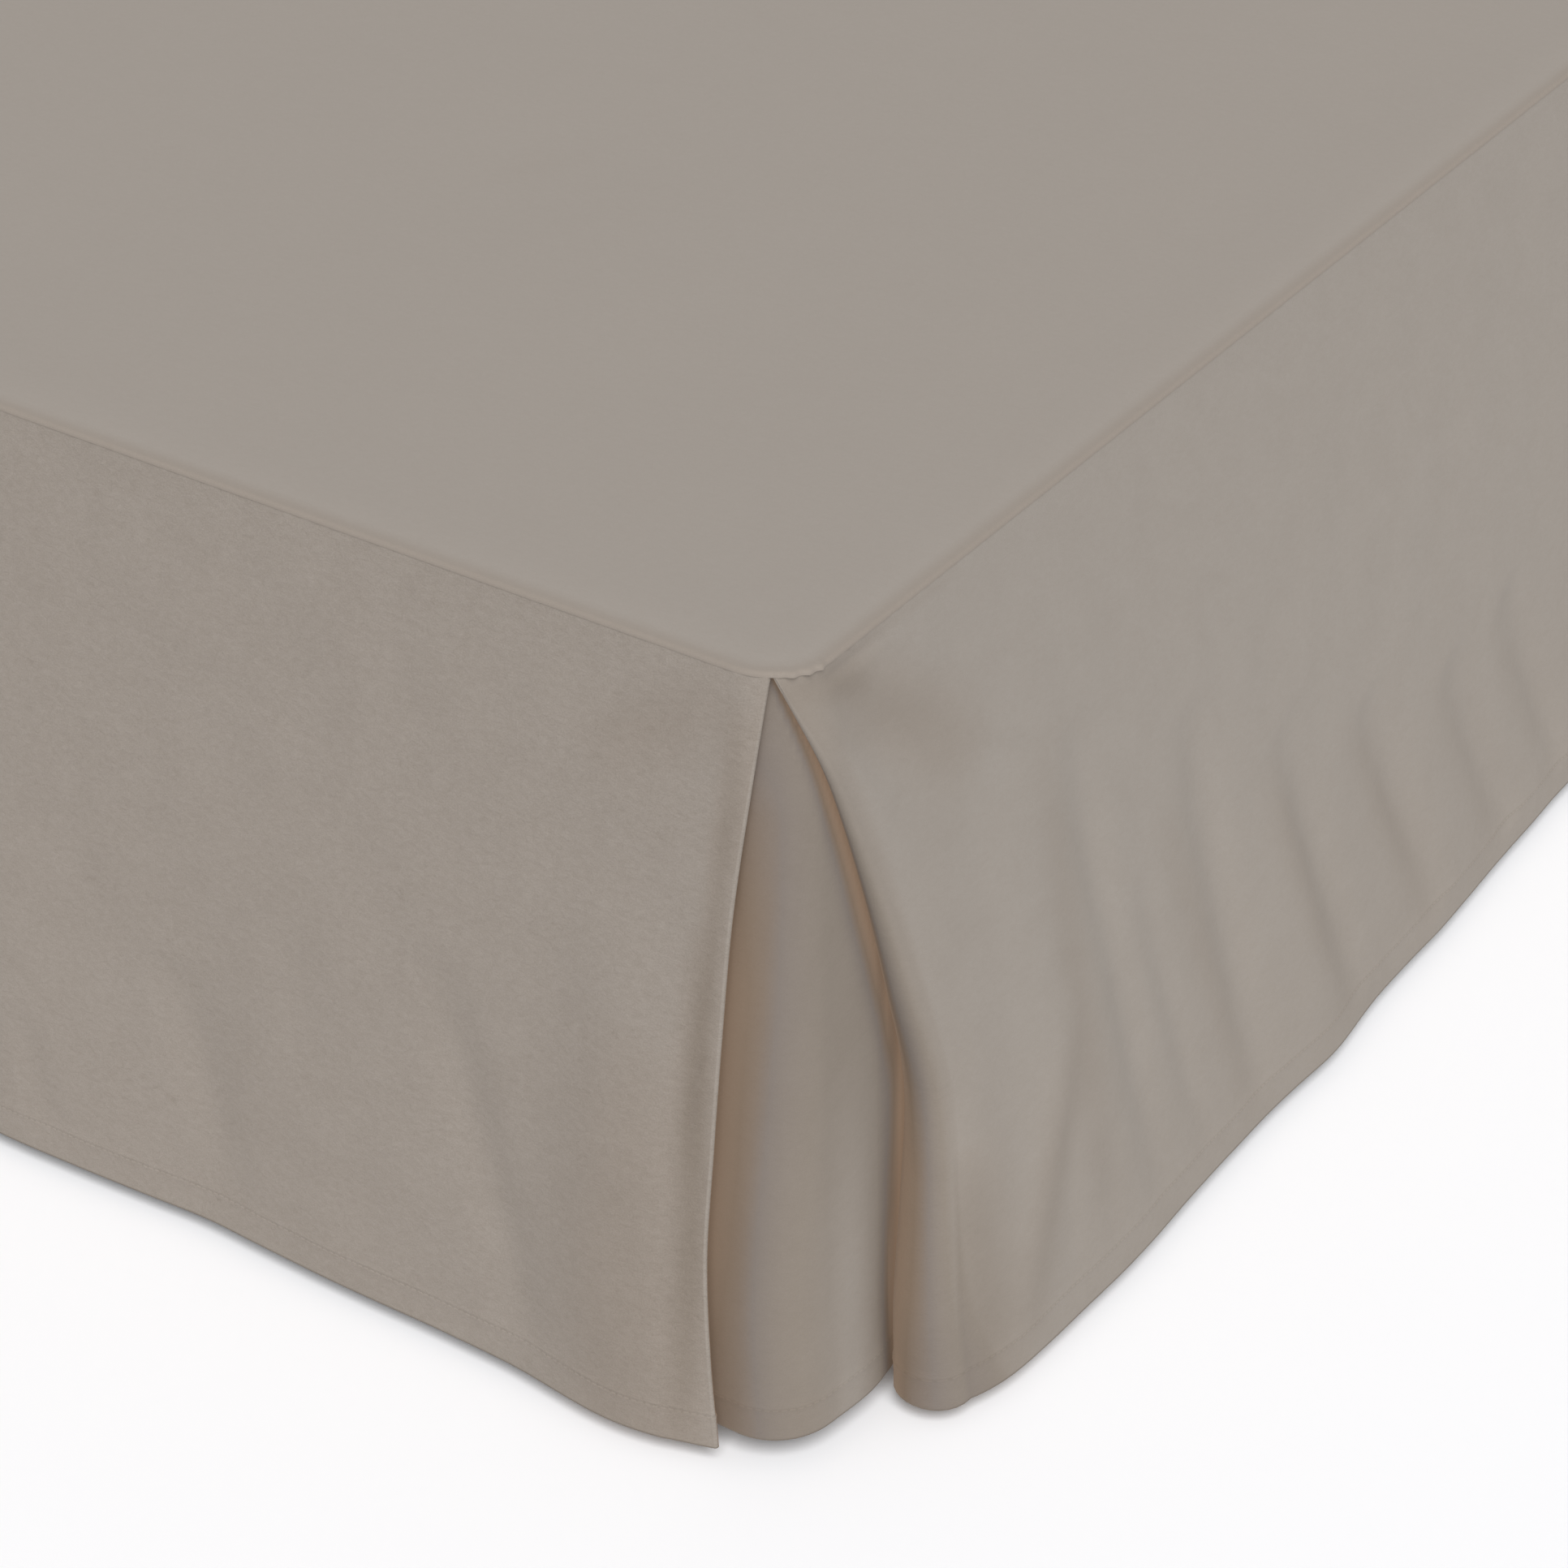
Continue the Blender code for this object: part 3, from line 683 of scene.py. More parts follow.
def buildFoot(name):
    points, us, vs, paintedShades, hemRows = clothGrid(footRow)
    left = points[:, ::-1].copy()
    left[:, :, 0] *= -1
    whole = 2 * us[:, -1:] + sheetGrid["middleGap"]
    points = np.concatenate([points, left], axis=1)
    us = np.concatenate([us, whole - us[:, ::-1]], axis=1)
    vs = np.concatenate([vs, vs[:, ::-1]], axis=1)
    paintedShades = np.concatenate([paintedShades, paintedShades[:, ::-1]], axis=1)
    points[:, :, 1] += bed["centreY"]
    return clothMesh(name, points[:, ::-1], us[:, ::-1], vs[:, ::-1], paintedShades[:, ::-1], hemRows)


print("panels")
sideRight = buildSide("sidePanelRight", False, 0.0)
sideLeft = buildSide("sidePanelLeft", True, sidePanel["farSideShift"])
foot = buildFoot("footPanel")

deck = {
    "rimRadius": 0.0016,
    "rimDepth": 0.002,
    "rimSteps": 5,
    # painted shade on the deck's rim, going towards the pleat's
    "rimPaintedShade": 0.16,  # how far the rim's tone goes towards the pleat's
    "rimFall": (0.0007, 0.0012),  # between these distances below the deck's top
    "ringInsets": (0.0016, 0.003, 0.005, 0.0075, 0.0105, 0.014, 0.018, 0.0215),
    "thickness": 0.0008,
    "cell": 0.014,
    "arcSteps": 36,
    "lip": 0.0012,  # the seam's turned edge stands out this much beside each pleat's mouth
    "lipStart": 0.45,  # the share of it that stands out at the mouth
    "lipFrom": 0.001,
    "lipFromOver": 0.004,
    "lipTo": 0.021,
    "lipToOver": 0.003,
    "scallop": 0.0005,
    "scallopLength": 0.0058,
    "crownFall": 0.0011,  # how much the deck falls towards its rim
    "crownWidth": 0.010,
    "crownPower": 1.6,
    "rippleHeight": 0.0002,
    "rippleLength": 0.16,
    "rippleFlat": 1.2,  # what rises above this stays level, so the ripples only sink
    "rippleOver": 0.05,
    "seed": 21,
}


def deckHeightAt(x, y, inset):
    # inset is the distance in from the outline
    fall = deck["crownFall"] * np.exp(-((inset / deck["crownWidth"]) ** deck["crownPower"]))
    hold = np.clip(inset / deck["rippleOver"], 0, 1)
    field = rippleField(x, y, deck["seed"], deck["rippleLength"]) - deck["rippleFlat"]
    return bed["deckTop"] - fall + np.minimum(deck["rippleHeight"] * field * hold, 0)


def lipOut(outX, outY):
    # how far the rim stands out on the corners' arcs, beside the mouths, scalloped by the stitches
    along = bed["cornerRadius"] * (pleat["mouthAngle"] - np.arctan2(-outY, abs(outX)))
    inLip = np.clip((along - deck["lipFrom"]) / deck["lipFromOver"], 0, 1)
    inLip *= np.clip((deck["lipTo"] - along) / deck["lipToOver"], 0, 1)
    grown = deck["lipStart"] + (1 - deck["lipStart"]) * along / deck["lipTo"]
    wave = np.sin(2 * math.pi * along / deck["scallopLength"])
    return inLip * (deck["lip"] * grown + deck["scallop"] * wave)


def deckOutline(xs, ys):
    # round the rectangle inside the corners' arcs, each place with its way outwards
    sides = (
        ((0, -1), [(x, ys[0]) for x in xs]),
        ((1, 0), [(xs[-1], y) for y in ys]),
        ((0, 1), [(x, ys[-1]) for x in xs[::-1]]),
        ((-1, 0), [(xs[0], y) for y in ys[::-1]]),
    )
    outline = []
    for quarter, (outward, places) in enumerate(sides):
        outline += [(x, y, *outward) for x, y in places[:-1]]
        for step in range(deck["arcSteps"]):
            angle = (quarter - 1 + step / deck["arcSteps"]) * math.pi / 2
            outline.append((*places[-1], math.cos(angle), math.sin(angle)))
    return outline


def deckRing(shape, outline, inset, lift):
    # one ring of vertices this far in from the deck's outline
    ring = []
    for x, y, outX, outY in outline:
        out = bed["cornerRadius"] - inset
        onFootArc = outY < 0 and abs(outX) > 0
        if onFootArc and inset < deck["crownWidth"]:
            out += lipOut(outX, outY) * (1 - inset / deck["crownWidth"])
        px = x + outX * out
        py = y + outY * out
        z = float(deckHeightAt(np.float64(px), np.float64(py), inset)) + lift
        ring.append(shape.verts.new((px, py + bed["centreY"], z)))
    return ring


def buildDeck(name):
    # rings from the rim inwards, then a plain grid inside them
    radius = bed["cornerRadius"]
    halfX = bed["halfWidth"] - radius
    halfY = bed["halfLength"] - radius
    xs = np.linspace(-halfX, halfX, int(2 * halfX / deck["cell"]) + 1)
    ys = np.linspace(-halfY, halfY, int(2 * halfY / deck["cell"]) + 1)
    outline = deckOutline(xs, ys)
    rim = [(0.0, -deck["rimDepth"])]
    for angle in np.linspace(0, math.pi / 2, deck["rimSteps"], endpoint=False):
        rim.append((deck["rimRadius"] * (1 - math.cos(angle)), deck["rimRadius"] * (math.sin(angle) - 1)))
    rim += [(inset, 0.0) for inset in (*deck["ringInsets"], radius)]
    shape = bmesh.new()
    rings = [deckRing(shape, outline, inset, lift) for inset, lift in rim]
    for outer, inner in zip(rings, rings[1:]):
        for i in range(len(outer)):
            j = (i + 1) % len(outer)
            shape.faces.new((outer[i], outer[j], inner[j], inner[i]))
    gridX, gridY = np.meshgrid(xs, ys)
    inset = radius + np.minimum(halfX - np.abs(gridX), halfY - np.abs(gridY))
    heights = deckHeightAt(gridX, gridY, inset)
    grid = [
        [shape.verts.new((x, y + bed["centreY"], heights[j, i])) for i, x in enumerate(xs)]
        for j, y in enumerate(ys)
    ]
    for j in range(len(ys) - 1):
        for i in range(len(xs) - 1):
            shape.faces.new((grid[j][i], grid[j][i + 1], grid[j + 1][i + 1], grid[j + 1][i]))
    bmesh.ops.remove_doubles(shape, verts=shape.verts[:], dist=1e-6)
    bmesh.ops.dissolve_degenerate(shape, edges=shape.edges[:], dist=1e-6)
    bmesh.ops.recalc_face_normals(shape, faces=shape.faces[:])
    if sum(face.normal.z for face in shape.faces) < 0:
        bmesh.ops.reverse_faces(shape, faces=shape.faces[:])
    uv = shape.loops.layers.uv.new("cloth")
    for face in shape.faces:
        for loop in face.loops:
            loop[uv].uv = (loop.vert.co.x, loop.vert.co.y)
    # painted shade on the deck's rim, darker where it falls below the deck's top
    paintedFoldShade = shape.verts.layers.float.new("paintedFoldShade")
    for vert in shape.verts:
        fallen = bed["deckTop"] - vert.co.z
        vert[paintedFoldShade] = float(np.interp(fallen, deck["rimFall"], (0.0, deck["rimPaintedShade"])))
    mesh = bpy.data.meshes.new(name)
    shape.to_mesh(mesh)
    shape.free()
    thing = bpy.data.objects.new(name, mesh)
    bpy.context.scene.collection.objects.link(thing)
    solid = thing.modifiers.new("thickness", "SOLIDIFY")
    solid.thickness = deck["thickness"]
    solid.offset = -1.0
    finishSheet(thing)
    return thing


print("deck")
deckCloth = buildDeck("deckCloth")

clothFinish = {
    "roughness": 0.95,
    "specular": 0.2,
    "sheen": 0.05,
    "sheenRoughness": 0.45,
    "sheenTint": (0.95, 0.90, 0.85),
    "patchScale": 42.0,
    "grainScale": 1400.0,
    "bumpDistance": 0.0003,
    # painted light: the colour of the warm emission in the pleat's crease
    "paintedCreaseLight": (0.34, 0.235, 0.16),
    # painted shade along the hem's lower edge, and how high it reaches
    "hemPaintedShade": (0.16, 0.135, 0.11),
    "hemPaintedShadeHeight": 0.0011,
}
# How each piece's cloth looks: its two tones, and how strongly the nap and the grain show. The pieces are one
# cloth; their tones differ as painted light and shade, the deck's lightest and the foot's darkest
clothTones = {
    "foot": {
        "light": (0.325, 0.2875, 0.252),
        "dark": (0.249, 0.215, 0.1825),
        "patchTone": 0.42,
        "grainTone": 2.2,
        "markTone": 0.35,
        "bump": 0.7,
    },
    "side": {
        "light": (0.339, 0.307, 0.2745),
        "dark": (0.267, 0.235, 0.203),
        "patchTone": 0.40,
        "grainTone": 0.9,
        "markTone": 0.10,
        "bump": 0.3,
    },
    "deck": {
        "light": (0.362, 0.326, 0.294),
        "dark": (0.292, 0.258, 0.2255),
        "patchTone": 0.12,
        "grainTone": 0.6,
        "markTone": 0.0,
        "bump": 0.2,
    },
}
# Painted shade: the cloth's colour is multiplied by these from the open panels to the bottom of the pleat,
# and the last column is painted light, a warm emission that lifts the darkest shade there
paintedShadeColumns = ("depth", "red", "green", "blue", "paintedLight")
paintedShadeTones = (
    (0.0, 1.0, 1.0, 1.0, 0.0),
    (0.08, 0.935, 0.916, 0.898, 0.0),
    (0.25, 0.77, 0.735, 0.695, 0.0),
    (0.5, 0.64, 0.61, 0.605, 0.01),
    (0.75, 0.525, 0.44, 0.365, 0.14),
    (1.0, 0.50, 0.39, 0.31, 0.48),
)
noiseMiddle = 0.5


def newSocket(group, name, way, kind, value=None):
    socket = group.interface.new_socket(name, in_out=way, socket_type=kind)
    if value is not None:
        socket.default_value = value


def mathNode(tree, operation, first, second=None, clamp=False):
    node = tree.nodes.new("ShaderNodeMath")
    node.operation = operation
    node.use_clamp = clamp
    for slot, value in ((0, first), (1, second)):
        if value is None:
            continue
        if isinstance(value, (int, float)):
            node.inputs[slot].default_value = value
        else:
            tree.links.new(value, node.inputs[slot])
    return node.outputs[0]


def stretchFrom(tree, value, zero, gain, clamp=False):
    # how far the value is above zero's level, made this much stronger
    return mathNode(tree, "MULTIPLY", mathNode(tree, "SUBTRACT", value, zero), gain, clamp)


def noiseNode(tree, vector, scale, detail, roughness, distortion=0.0):
    node = tree.nodes.new("ShaderNodeTexNoise")
    tree.links.new(vector, node.inputs["Vector"])
    if isinstance(scale, (int, float)):
        node.inputs["Scale"].default_value = scale
    else:
        tree.links.new(scale, node.inputs["Scale"])
    node.inputs["Detail"].default_value = detail
    node.inputs["Roughness"].default_value = roughness
    node.inputs["Distortion"].default_value = distortion
    return node.outputs["Fac"]


napPattern = {
    "markPatchScale": 26.0,  # marks lie only in patches of this scale
    "markPatchFrom": 0.50,
    "markPatchGain": 6.0,
    "markScale": 170.0,
    "markFrom": 0.56,
    "markGain": 7.0,
    "streakStretch": (0.7, 1.0, 1.0),
    "streakScale": 0.28,  # of the grain's
    "grainShare": 0.55,  # of the grain's tone, where streaks give the rest
    "grainHeight": 0.5,
}


def napGroup():
    # brushed cloth: uneven patches where the nap lies over, short streaks and a fine grain
    group = bpy.data.node_groups.new("brushedNap", "ShaderNodeTree")
    newSocket(group, "Vector", "INPUT", "NodeSocketVector")
    newSocket(group, "Patch Scale", "INPUT", "NodeSocketFloat", clothFinish["patchScale"])
    newSocket(group, "Grain Scale", "INPUT", "NodeSocketFloat", clothFinish["grainScale"])
    for name in ("Patches", "Grain", "Height", "Marks"):
        newSocket(group, name, "OUTPUT", "NodeSocketFloat")
    entry = group.nodes.new("NodeGroupInput")
    leave = group.nodes.new("NodeGroupOutput")
    place = entry.outputs["Vector"]
    broad = noiseNode(group, place, napPattern["markPatchScale"], detail=2.0, roughness=0.5)
    fine = noiseNode(group, place, napPattern["markScale"], detail=4.0, roughness=0.65, distortion=1.2)
    broad = stretchFrom(group, broad, napPattern["markPatchFrom"], napPattern["markPatchGain"], clamp=True)
    fine = stretchFrom(group, fine, napPattern["markFrom"], napPattern["markGain"], clamp=True)
    group.links.new(mathNode(group, "MULTIPLY", broad, fine), leave.inputs["Marks"])
    patchScale = entry.outputs["Patch Scale"]
    patches = noiseNode(group, place, patchScale, detail=5.0, roughness=0.62, distortion=0.6)
    group.links.new(patches, leave.inputs["Patches"])
    grain = noiseNode(group, place, entry.outputs["Grain Scale"], detail=2.0, roughness=0.6)
    mapping = group.nodes.new("ShaderNodeMapping")
    mapping.inputs["Scale"].default_value = napPattern["streakStretch"]
    group.links.new(place, mapping.inputs["Vector"])
    coarse = mathNode(group, "MULTIPLY", entry.outputs["Grain Scale"], napPattern["streakScale"])
    stretched = mapping.outputs["Vector"]
    streaks = noiseNode(group, stretched, coarse, detail=4.0, roughness=0.6, distortion=0.8)
    grainPart = mathNode(group, "MULTIPLY", grain, napPattern["grainShare"])
    streakPart = mathNode(group, "MULTIPLY", streaks, 1 - napPattern["grainShare"])
    group.links.new(mathNode(group, "ADD", grainPart, streakPart), leave.inputs["Grain"])
    raised = mathNode(group, "MULTIPLY", grain, napPattern["grainHeight"])
    group.links.new(mathNode(group, "ADD", raised, streaks), leave.inputs["Height"])
    return group


stitchFinish = {
    "length": 0.003,
    "halfWidth": 0.0004,
    "threadFrom": 0.35,
    "threadGain": 3.0,
    "threadColour": (0.36, 0.32, 0.28),
    "threadShare": 0.5,
    "grooveFall": 0.4,  # how fast the groove fades beside the row, where the thread fades at 1
    # painted shade in the stitches' groove
    "grooveShadeColour": (0.16, 0.135, 0.11),
    "grooveShadeShare": 0.25,
    "grooveHeight": 1.2,
}


def stitchGroup():
    # a row of machine stitches at one height of a UV map in metres
    group = bpy.data.node_groups.new("stitchRow", "ShaderNodeTree")
    newSocket(group, "Vector", "INPUT", "NodeSocketVector")
    newSocket(group, "Row Height", "INPUT", "NodeSocketFloat", sewing["hemDepth"])
    newSocket(group, "Stitch Length", "INPUT", "NodeSocketFloat", stitchFinish["length"])
    newSocket(group, "Half Width", "INPUT", "NodeSocketFloat", stitchFinish["halfWidth"])
    newSocket(group, "Mask", "OUTPUT", "NodeSocketFloat")
    newSocket(group, "Groove", "OUTPUT", "NodeSocketFloat")
    entry = group.nodes.new("NodeGroupInput")
    leave = group.nodes.new("NodeGroupOutput")
    split = group.nodes.new("ShaderNodeSeparateXYZ")
    group.links.new(entry.outputs["Vector"], split.inputs[0])
    off = mathNode(group, "SUBTRACT", split.outputs["Y"], entry.outputs["Row Height"])
    away = mathNode(group, "DIVIDE", mathNode(group, "ABSOLUTE", off), entry.outputs["Half Width"])
    inRow = mathNode(group, "SUBTRACT", 1.0, away, clamp=True)
    run = mathNode(group, "DIVIDE", split.outputs["X"], entry.outputs["Stitch Length"])
    wave = mathNode(group, "SINE", mathNode(group, "MULTIPLY", mathNode(group, "FRACT", run), math.pi))
    thread = stretchFrom(group, wave, stitchFinish["threadFrom"], stitchFinish["threadGain"], clamp=True)
    group.links.new(mathNode(group, "MULTIPLY", thread, inRow), leave.inputs["Mask"])
    fall = mathNode(group, "MULTIPLY", away, stitchFinish["grooveFall"])
    group.links.new(mathNode(group, "SUBTRACT", 1.0, fall, clamp=True), leave.inputs["Groove"])
    return group


def placeGroup(tree, group, values):
    node = tree.nodes.new("ShaderNodeGroup")
    node.node_tree = group
    for name, value in values.items():
        if isinstance(value, (int, float)):
            node.inputs[name].default_value = value
        else:
            tree.links.new(value, node.inputs[name])
    return node


def mixColours(tree, factor, first, second, blend="MIX"):
    node = tree.nodes.new("ShaderNodeMix")
    node.data_type = "RGBA"
    node.blend_type = blend
    if isinstance(factor, (int, float)):
        node.inputs["Factor"].default_value = factor
    else:
        tree.links.new(factor, node.inputs["Factor"])
    for slot, value in ((6, first), (7, second)):
        if isinstance(value, tuple):
            node.inputs[slot].default_value = (*value, 1.0)
        else:
            tree.links.new(value, node.inputs[slot])
    return node.outputs[2]


def newMaterial(name):
    material = bpy.data.materials.new(name)
    material.use_nodes = True
    return material, material.node_tree, material.node_tree.nodes["Principled BSDF"]


def addBump(tree, shader, height, strength, distance):
    bump = tree.nodes.new("ShaderNodeBump")
    bump.inputs["Strength"].default_value = strength
    bump.inputs["Distance"].default_value = distance
    tree.links.new(height, bump.inputs["Height"])
    tree.links.new(bump.outputs["Normal"], shader.inputs["Normal"])


def wornCloth(tree, place, tones):
    # the open cloth's colour, and its height for the bump
    worn = placeGroup(tree, nap, {
        "Vector": place,
        "Patch Scale": clothFinish["patchScale"],
        "Grain Scale": clothFinish["grainScale"],
    })
    broad = stretchFrom(tree, worn.outputs["Patches"], noiseMiddle, tones["patchTone"])
    fine = stretchFrom(tree, worn.outputs["Grain"], noiseMiddle, tones["grainTone"])
    marks = mathNode(tree, "MULTIPLY", worn.outputs["Marks"], tones["markTone"])
    shade = mathNode(tree, "ADD", mathNode(tree, "ADD", broad, fine), noiseMiddle)
    shade = mathNode(tree, "SUBTRACT", shade, marks, clamp=True)
    return mixColours(tree, shade, tones["dark"], tones["light"]), worn.outputs["Height"]


def hemStitching(tree, place, colour, height):
    # the hem's row of stitches, sunk in its groove, with painted shade in the groove
    row = placeGroup(tree, stitches, {"Vector": place, "Row Height": sewing["hemDepth"]})
    dark = mathNode(tree, "MULTIPLY", row.outputs["Groove"], stitchFinish["grooveShadeShare"])
    colour = mixColours(tree, dark, colour, stitchFinish["grooveShadeColour"])
    thread = mathNode(tree, "MULTIPLY", row.outputs["Mask"], stitchFinish["threadShare"])
    colour = mixColours(tree, thread, colour, stitchFinish["threadColour"])
    sunk = mathNode(tree, "MULTIPLY", row.outputs["Groove"], stitchFinish["grooveHeight"])
    return colour, mathNode(tree, "SUBTRACT", height, sunk)


def hemShadeEdge(tree, place, colour):
    # painted shade: a dark line along the hem's lower edge
    split = tree.nodes.new("ShaderNodeSeparateXYZ")
    tree.links.new(place, split.inputs[0])
    low = mathNode(tree, "DIVIDE", split.outputs["Y"], clothFinish["hemPaintedShadeHeight"])
    line = mathNode(tree, "SUBTRACT", 1.0, low, clamp=True)
    return mixColours(tree, line, colour, clothFinish["hemPaintedShade"])


def paintedFoldTone(tree, colour):
    # painted shade on the cloth's colour inside the pleat, deeper and warmer, and painted light, a warm
    # emission, in its crease
    paintedFoldShade = tree.nodes.new("ShaderNodeAttribute")
    paintedFoldShade.attribute_name = "paintedFoldShade"
    ramp = tree.nodes.new("ShaderNodeValToRGB")
    stops = ramp.color_ramp.elements
    while len(stops) < len(paintedShadeTones):
        stops.new(0.5)
    for stop, row in zip(stops, paintedShadeTones):
        tone = dict(zip(paintedShadeColumns, row))
        stop.position = tone["depth"]
        stop.color = (tone["red"], tone["green"], tone["blue"], tone["paintedLight"])
    tree.links.new(paintedFoldShade.outputs["Fac"], ramp.inputs["Fac"])
    return mixColours(tree, 1.0, colour, ramp.outputs["Color"], "MULTIPLY"), ramp.outputs["Alpha"]


def clothMaterial(name, tones, hasHem):
    material, tree, shader = newMaterial(name)
    shader.inputs["Roughness"].default_value = clothFinish["roughness"]
    shader.inputs["Specular IOR Level"].default_value = clothFinish["specular"]
    shader.inputs["Sheen Weight"].default_value = clothFinish["sheen"]
    shader.inputs["Sheen Roughness"].default_value = clothFinish["sheenRoughness"]
    shader.inputs["Sheen Tint"].default_value = (*clothFinish["sheenTint"], 1.0)
    # painted light: a warm emission in the pleat's crease, as strong as the painted shade's table gives
    shader.inputs["Emission Color"].default_value = (*clothFinish["paintedCreaseLight"], 1.0)
    uv = tree.nodes.new("ShaderNodeUVMap")
    uv.uv_map = "cloth"
    place = uv.outputs["UV"]
    colour, height = wornCloth(tree, place, tones)
    if hasHem:
        colour, height = hemStitching(tree, place, colour, height)
    colour, paintedLight = paintedFoldTone(tree, colour)
    if hasHem:
        colour = hemShadeEdge(tree, place, colour)
    tree.links.new(colour, shader.inputs["Base Color"])
    tree.links.new(paintedLight, shader.inputs["Emission Strength"])
    addBump(tree, shader, height, tones["bump"], clothFinish["bumpDistance"])
    return material


print("materials")
nap = napGroup()
stitches = stitchGroup()
# one cloth in three lit and shaded copies, by their painted tones
footMaterial = clothMaterial("brushedTaupeFoot", clothTones["foot"], True)
sideMaterial = clothMaterial("brushedTaupeSide", clothTones["side"], True)
deckMaterial = clothMaterial("brushedTaupeDeck", clothTones["deck"], False)
foot.data.materials.append(footMaterial)
for thing in (sideRight, sideLeft):
    thing.data.materials.append(sideMaterial)
deckCloth.data.materials.append(deckMaterial)

baseFinish = {
    "light": (0.56, 0.54, 0.50),
    "dark": (0.40, 0.38, 0.34),
    "roughness": 0.9,
    "waveScale": 35.0,
    "waveWander": 0.6,
    "weaveTone": 0.35,
    "mottleScale": 60.0,
    "mottleTone": 0.6,
    "bump": 0.5,
    "bumpDistance": 0.0004,
}


def weaveMaterial(name):
    material, tree, shader = newMaterial(name)
    shader.inputs["Roughness"].default_value = baseFinish["roughness"]
    place = tree.nodes.new("ShaderNodeTexCoord")
    waves = []
    for direction in ("X", "Y", "Z"):
        wave = tree.nodes.new("ShaderNodeTexWave")
        wave.bands_direction = direction
        wave.inputs["Scale"].default_value = baseFinish["waveScale"]
        wave.inputs["Distortion"].default_value = baseFinish["waveWander"]
        wave.inputs["Detail"].default_value = 1.0
        tree.links.new(place.outputs["Object"], wave.inputs["Vector"])
        waves.append(wave.outputs["Fac"])
    crossed = mathNode(tree, "MULTIPLY", mathNode(tree, "ADD", waves[0], waves[1]), waves[2])
    mottled = noiseNode(tree, place.outputs["Object"], baseFinish["mottleScale"], detail=4.0, roughness=0.6)
    weavePart = mathNode(tree, "MULTIPLY", crossed, baseFinish["weaveTone"])
    mottlePart = mathNode(tree, "MULTIPLY", mottled, baseFinish["mottleTone"])
    mixed = mathNode(tree, "ADD", weavePart, mottlePart, clamp=True)
    colour = mixColours(tree, mixed, baseFinish["dark"], baseFinish["light"])
    tree.links.new(colour, shader.inputs["Base Color"])
    addBump(tree, shader, crossed, baseFinish["bump"], baseFinish["bumpDistance"])
    return material


legFinish = {
    "light": (0.30, 0.17, 0.085),
    "dark": (0.17, 0.085, 0.038),
    "coat": 0.3,
    "coatRoughness": 0.3,
    "alongGrain": 0.08,  # the figure is drawn out along the leg
    "figureScale": 104.0,
    "figureTone": 1.2,
    "figureFall": 0.1,
    "poreScale": 1040.0,
    "poreTone": 0.4,
    "roughness": 0.32,
    "poreRoughness": 0.25,
    "bump": 0.25,
    "bumpDistance": 0.0003,
}


def woodMaterial(name):
    material, tree, shader = newMaterial(name)
    shader.inputs["Coat Weight"].default_value = legFinish["coat"]
    shader.inputs["Coat Roughness"].default_value = legFinish["coatRoughness"]
    place = tree.nodes.new("ShaderNodeTexCoord")
    mapping = tree.nodes.new("ShaderNodeMapping")
    mapping.inputs["Scale"].default_value = (1.0, 1.0, legFinish["alongGrain"])
    tree.links.new(place.outputs["Object"], mapping.inputs["Vector"])
    stretched = mapping.outputs["Vector"]
    figure = noiseNode(tree, stretched, legFinish["figureScale"], detail=5.0, roughness=0.6, distortion=1.4)
    pores = noiseNode(tree, stretched, legFinish["poreScale"], detail=3.0, roughness=0.7)
    figurePart = mathNode(tree, "MULTIPLY", figure, legFinish["figureTone"])
    porePart = stretchFrom(tree, pores, noiseMiddle, legFinish["poreTone"])
    mixed = mathNode(tree, "ADD", figurePart, porePart)
    mixed = mathNode(tree, "SUBTRACT", mixed, legFinish["figureFall"], clamp=True)
    colour = mixColours(tree, mixed, legFinish["dark"], legFinish["light"])
    tree.links.new(colour, shader.inputs["Base Color"])
    rough = mathNode(tree, "MULTIPLY", pores, legFinish["poreRoughness"])
    rough = mathNode(tree, "ADD", rough, legFinish["roughness"])
    tree.links.new(rough, shader.inputs["Roughness"])
    addBump(tree, shader, pores, legFinish["bump"], legFinish["bumpDistance"])
    return material


baseMaterial = weaveMaterial("baseCoverWeave")
legMaterial = woodMaterial("legBeech")
for name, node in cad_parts.items():
    if name == "bed_base" or name.startswith("leg_"):
        node.data.materials.clear()
        node.data.materials.append(baseMaterial if name == "bed_base" else legMaterial)

for thing, stoodFor in (
    (deckCloth, "deck_panel"),
    (foot, "foot_panel"),
    (sideRight, "side_panel_right"),
    (sideLeft, "side_panel_left"),
):
    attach(thing, "root")
    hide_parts(stoodFor)

studio = {
    "floorSize": 14.0,
    "floorColour": (0.905, 0.905, 0.92),
    "floorRoughness": 0.9,
    "floorGlowColour": (0.97, 0.98, 1.0),
    "floorGlow": 0.04,
    "worldColour": (1.0, 1.0, 1.0),
    "worldStrength": 0.34,
}
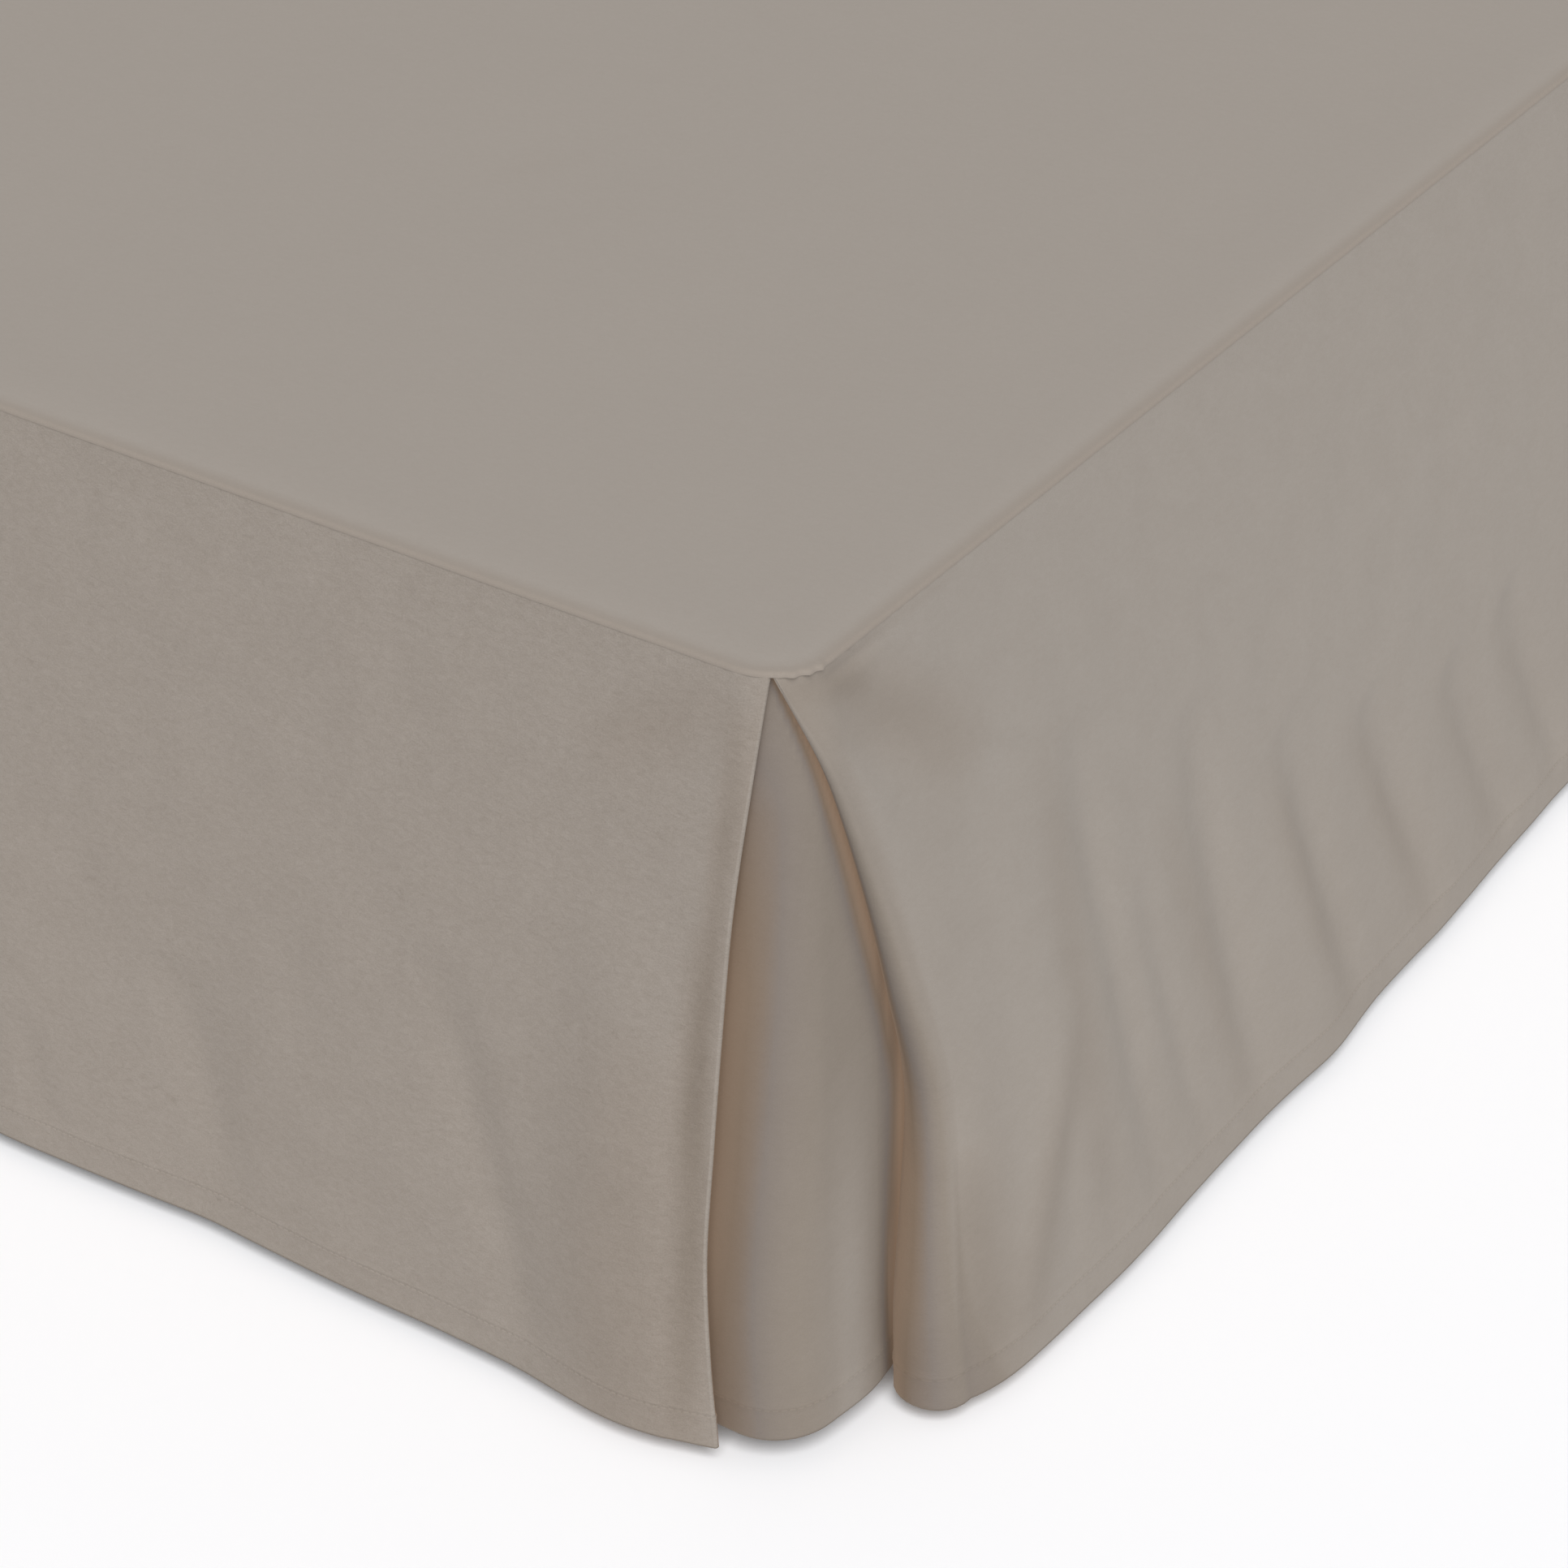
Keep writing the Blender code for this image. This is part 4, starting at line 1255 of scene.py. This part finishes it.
# One broad soft lamp: where it stands, and how bright a white card facing it looks
lamp = {
    "azimuth": 42.0,
    "elevation": 50.0,
    "share": 0.92,
    "spread": 45.0,  # degrees across it
}
view = {
    "azimuth": 33.9,
    "pitch": 33.3,
    "focal": 5300.0,  # in pixels of the frame below
    "frame": 1932.0,
    "sensor": 36.0,
    "location": (1.3919, -1.9753, 1.1301),
}


def directionFrom(azimuth, elevation):
    a = math.radians(azimuth)
    e = math.radians(elevation)
    return Vector((math.sin(a) * math.cos(e), -math.cos(a) * math.cos(e), math.sin(e)))


print("studio")
bpy.ops.object.select_all(action="DESELECT")
bpy.ops.mesh.primitive_plane_add(size=studio["floorSize"], location=(0, 0, 0))
floor = bpy.context.active_object
floor.name = "studioFloor"
floorMaterial, _, floorShader = newMaterial("paleFloor")
floorShader.inputs["Base Color"].default_value = (*studio["floorColour"], 1.0)
floorShader.inputs["Roughness"].default_value = studio["floorRoughness"]
floorShader.inputs["Emission Color"].default_value = (*studio["floorGlowColour"], 1.0)
floorShader.inputs["Emission Strength"].default_value = studio["floorGlow"]
floor.data.materials.append(floorMaterial)

world = bpy.data.worlds.new("studioWorld")
bpy.context.scene.world = world
world.use_nodes = True
background = world.node_tree.nodes["Background"]
background.inputs["Color"].default_value = (*studio["worldColour"], 1.0)
background.inputs["Strength"].default_value = studio["worldStrength"]

lampData = bpy.data.lights.new("lamp0", "SUN")
lampData.energy = math.pi * lamp["share"]
lampData.angle = math.radians(lamp["spread"])
lampPiece = bpy.data.objects.new("lamp0", lampData)
bpy.context.scene.collection.objects.link(lampPiece)
lampPiece.rotation_mode = "QUATERNION"
towardsLamp = directionFrom(lamp["azimuth"], lamp["elevation"])
lampPiece.rotation_quaternion = towardsLamp.to_track_quat("Z", "Y")

cameraData = bpy.data.cameras.new("camera")
cameraData.sensor_width = view["sensor"]
cameraData.lens = view["focal"] / view["frame"] * view["sensor"]
camera = bpy.data.objects.new("camera", cameraData)
bpy.context.scene.collection.objects.link(camera)
backward = directionFrom(view["azimuth"], view["pitch"])
rightward = (-backward).cross(Vector((0, 0, 1))).normalized()
upward = backward.cross(rightward)
camera.matrix_world = (
    Matrix.Translation(Vector(view["location"]))
    @ Matrix((rightward, upward, backward)).transposed().to_4x4()
)
bpy.context.scene.camera = camera
bpy.context.scene.view_settings.view_transform = "Standard"

print("done")
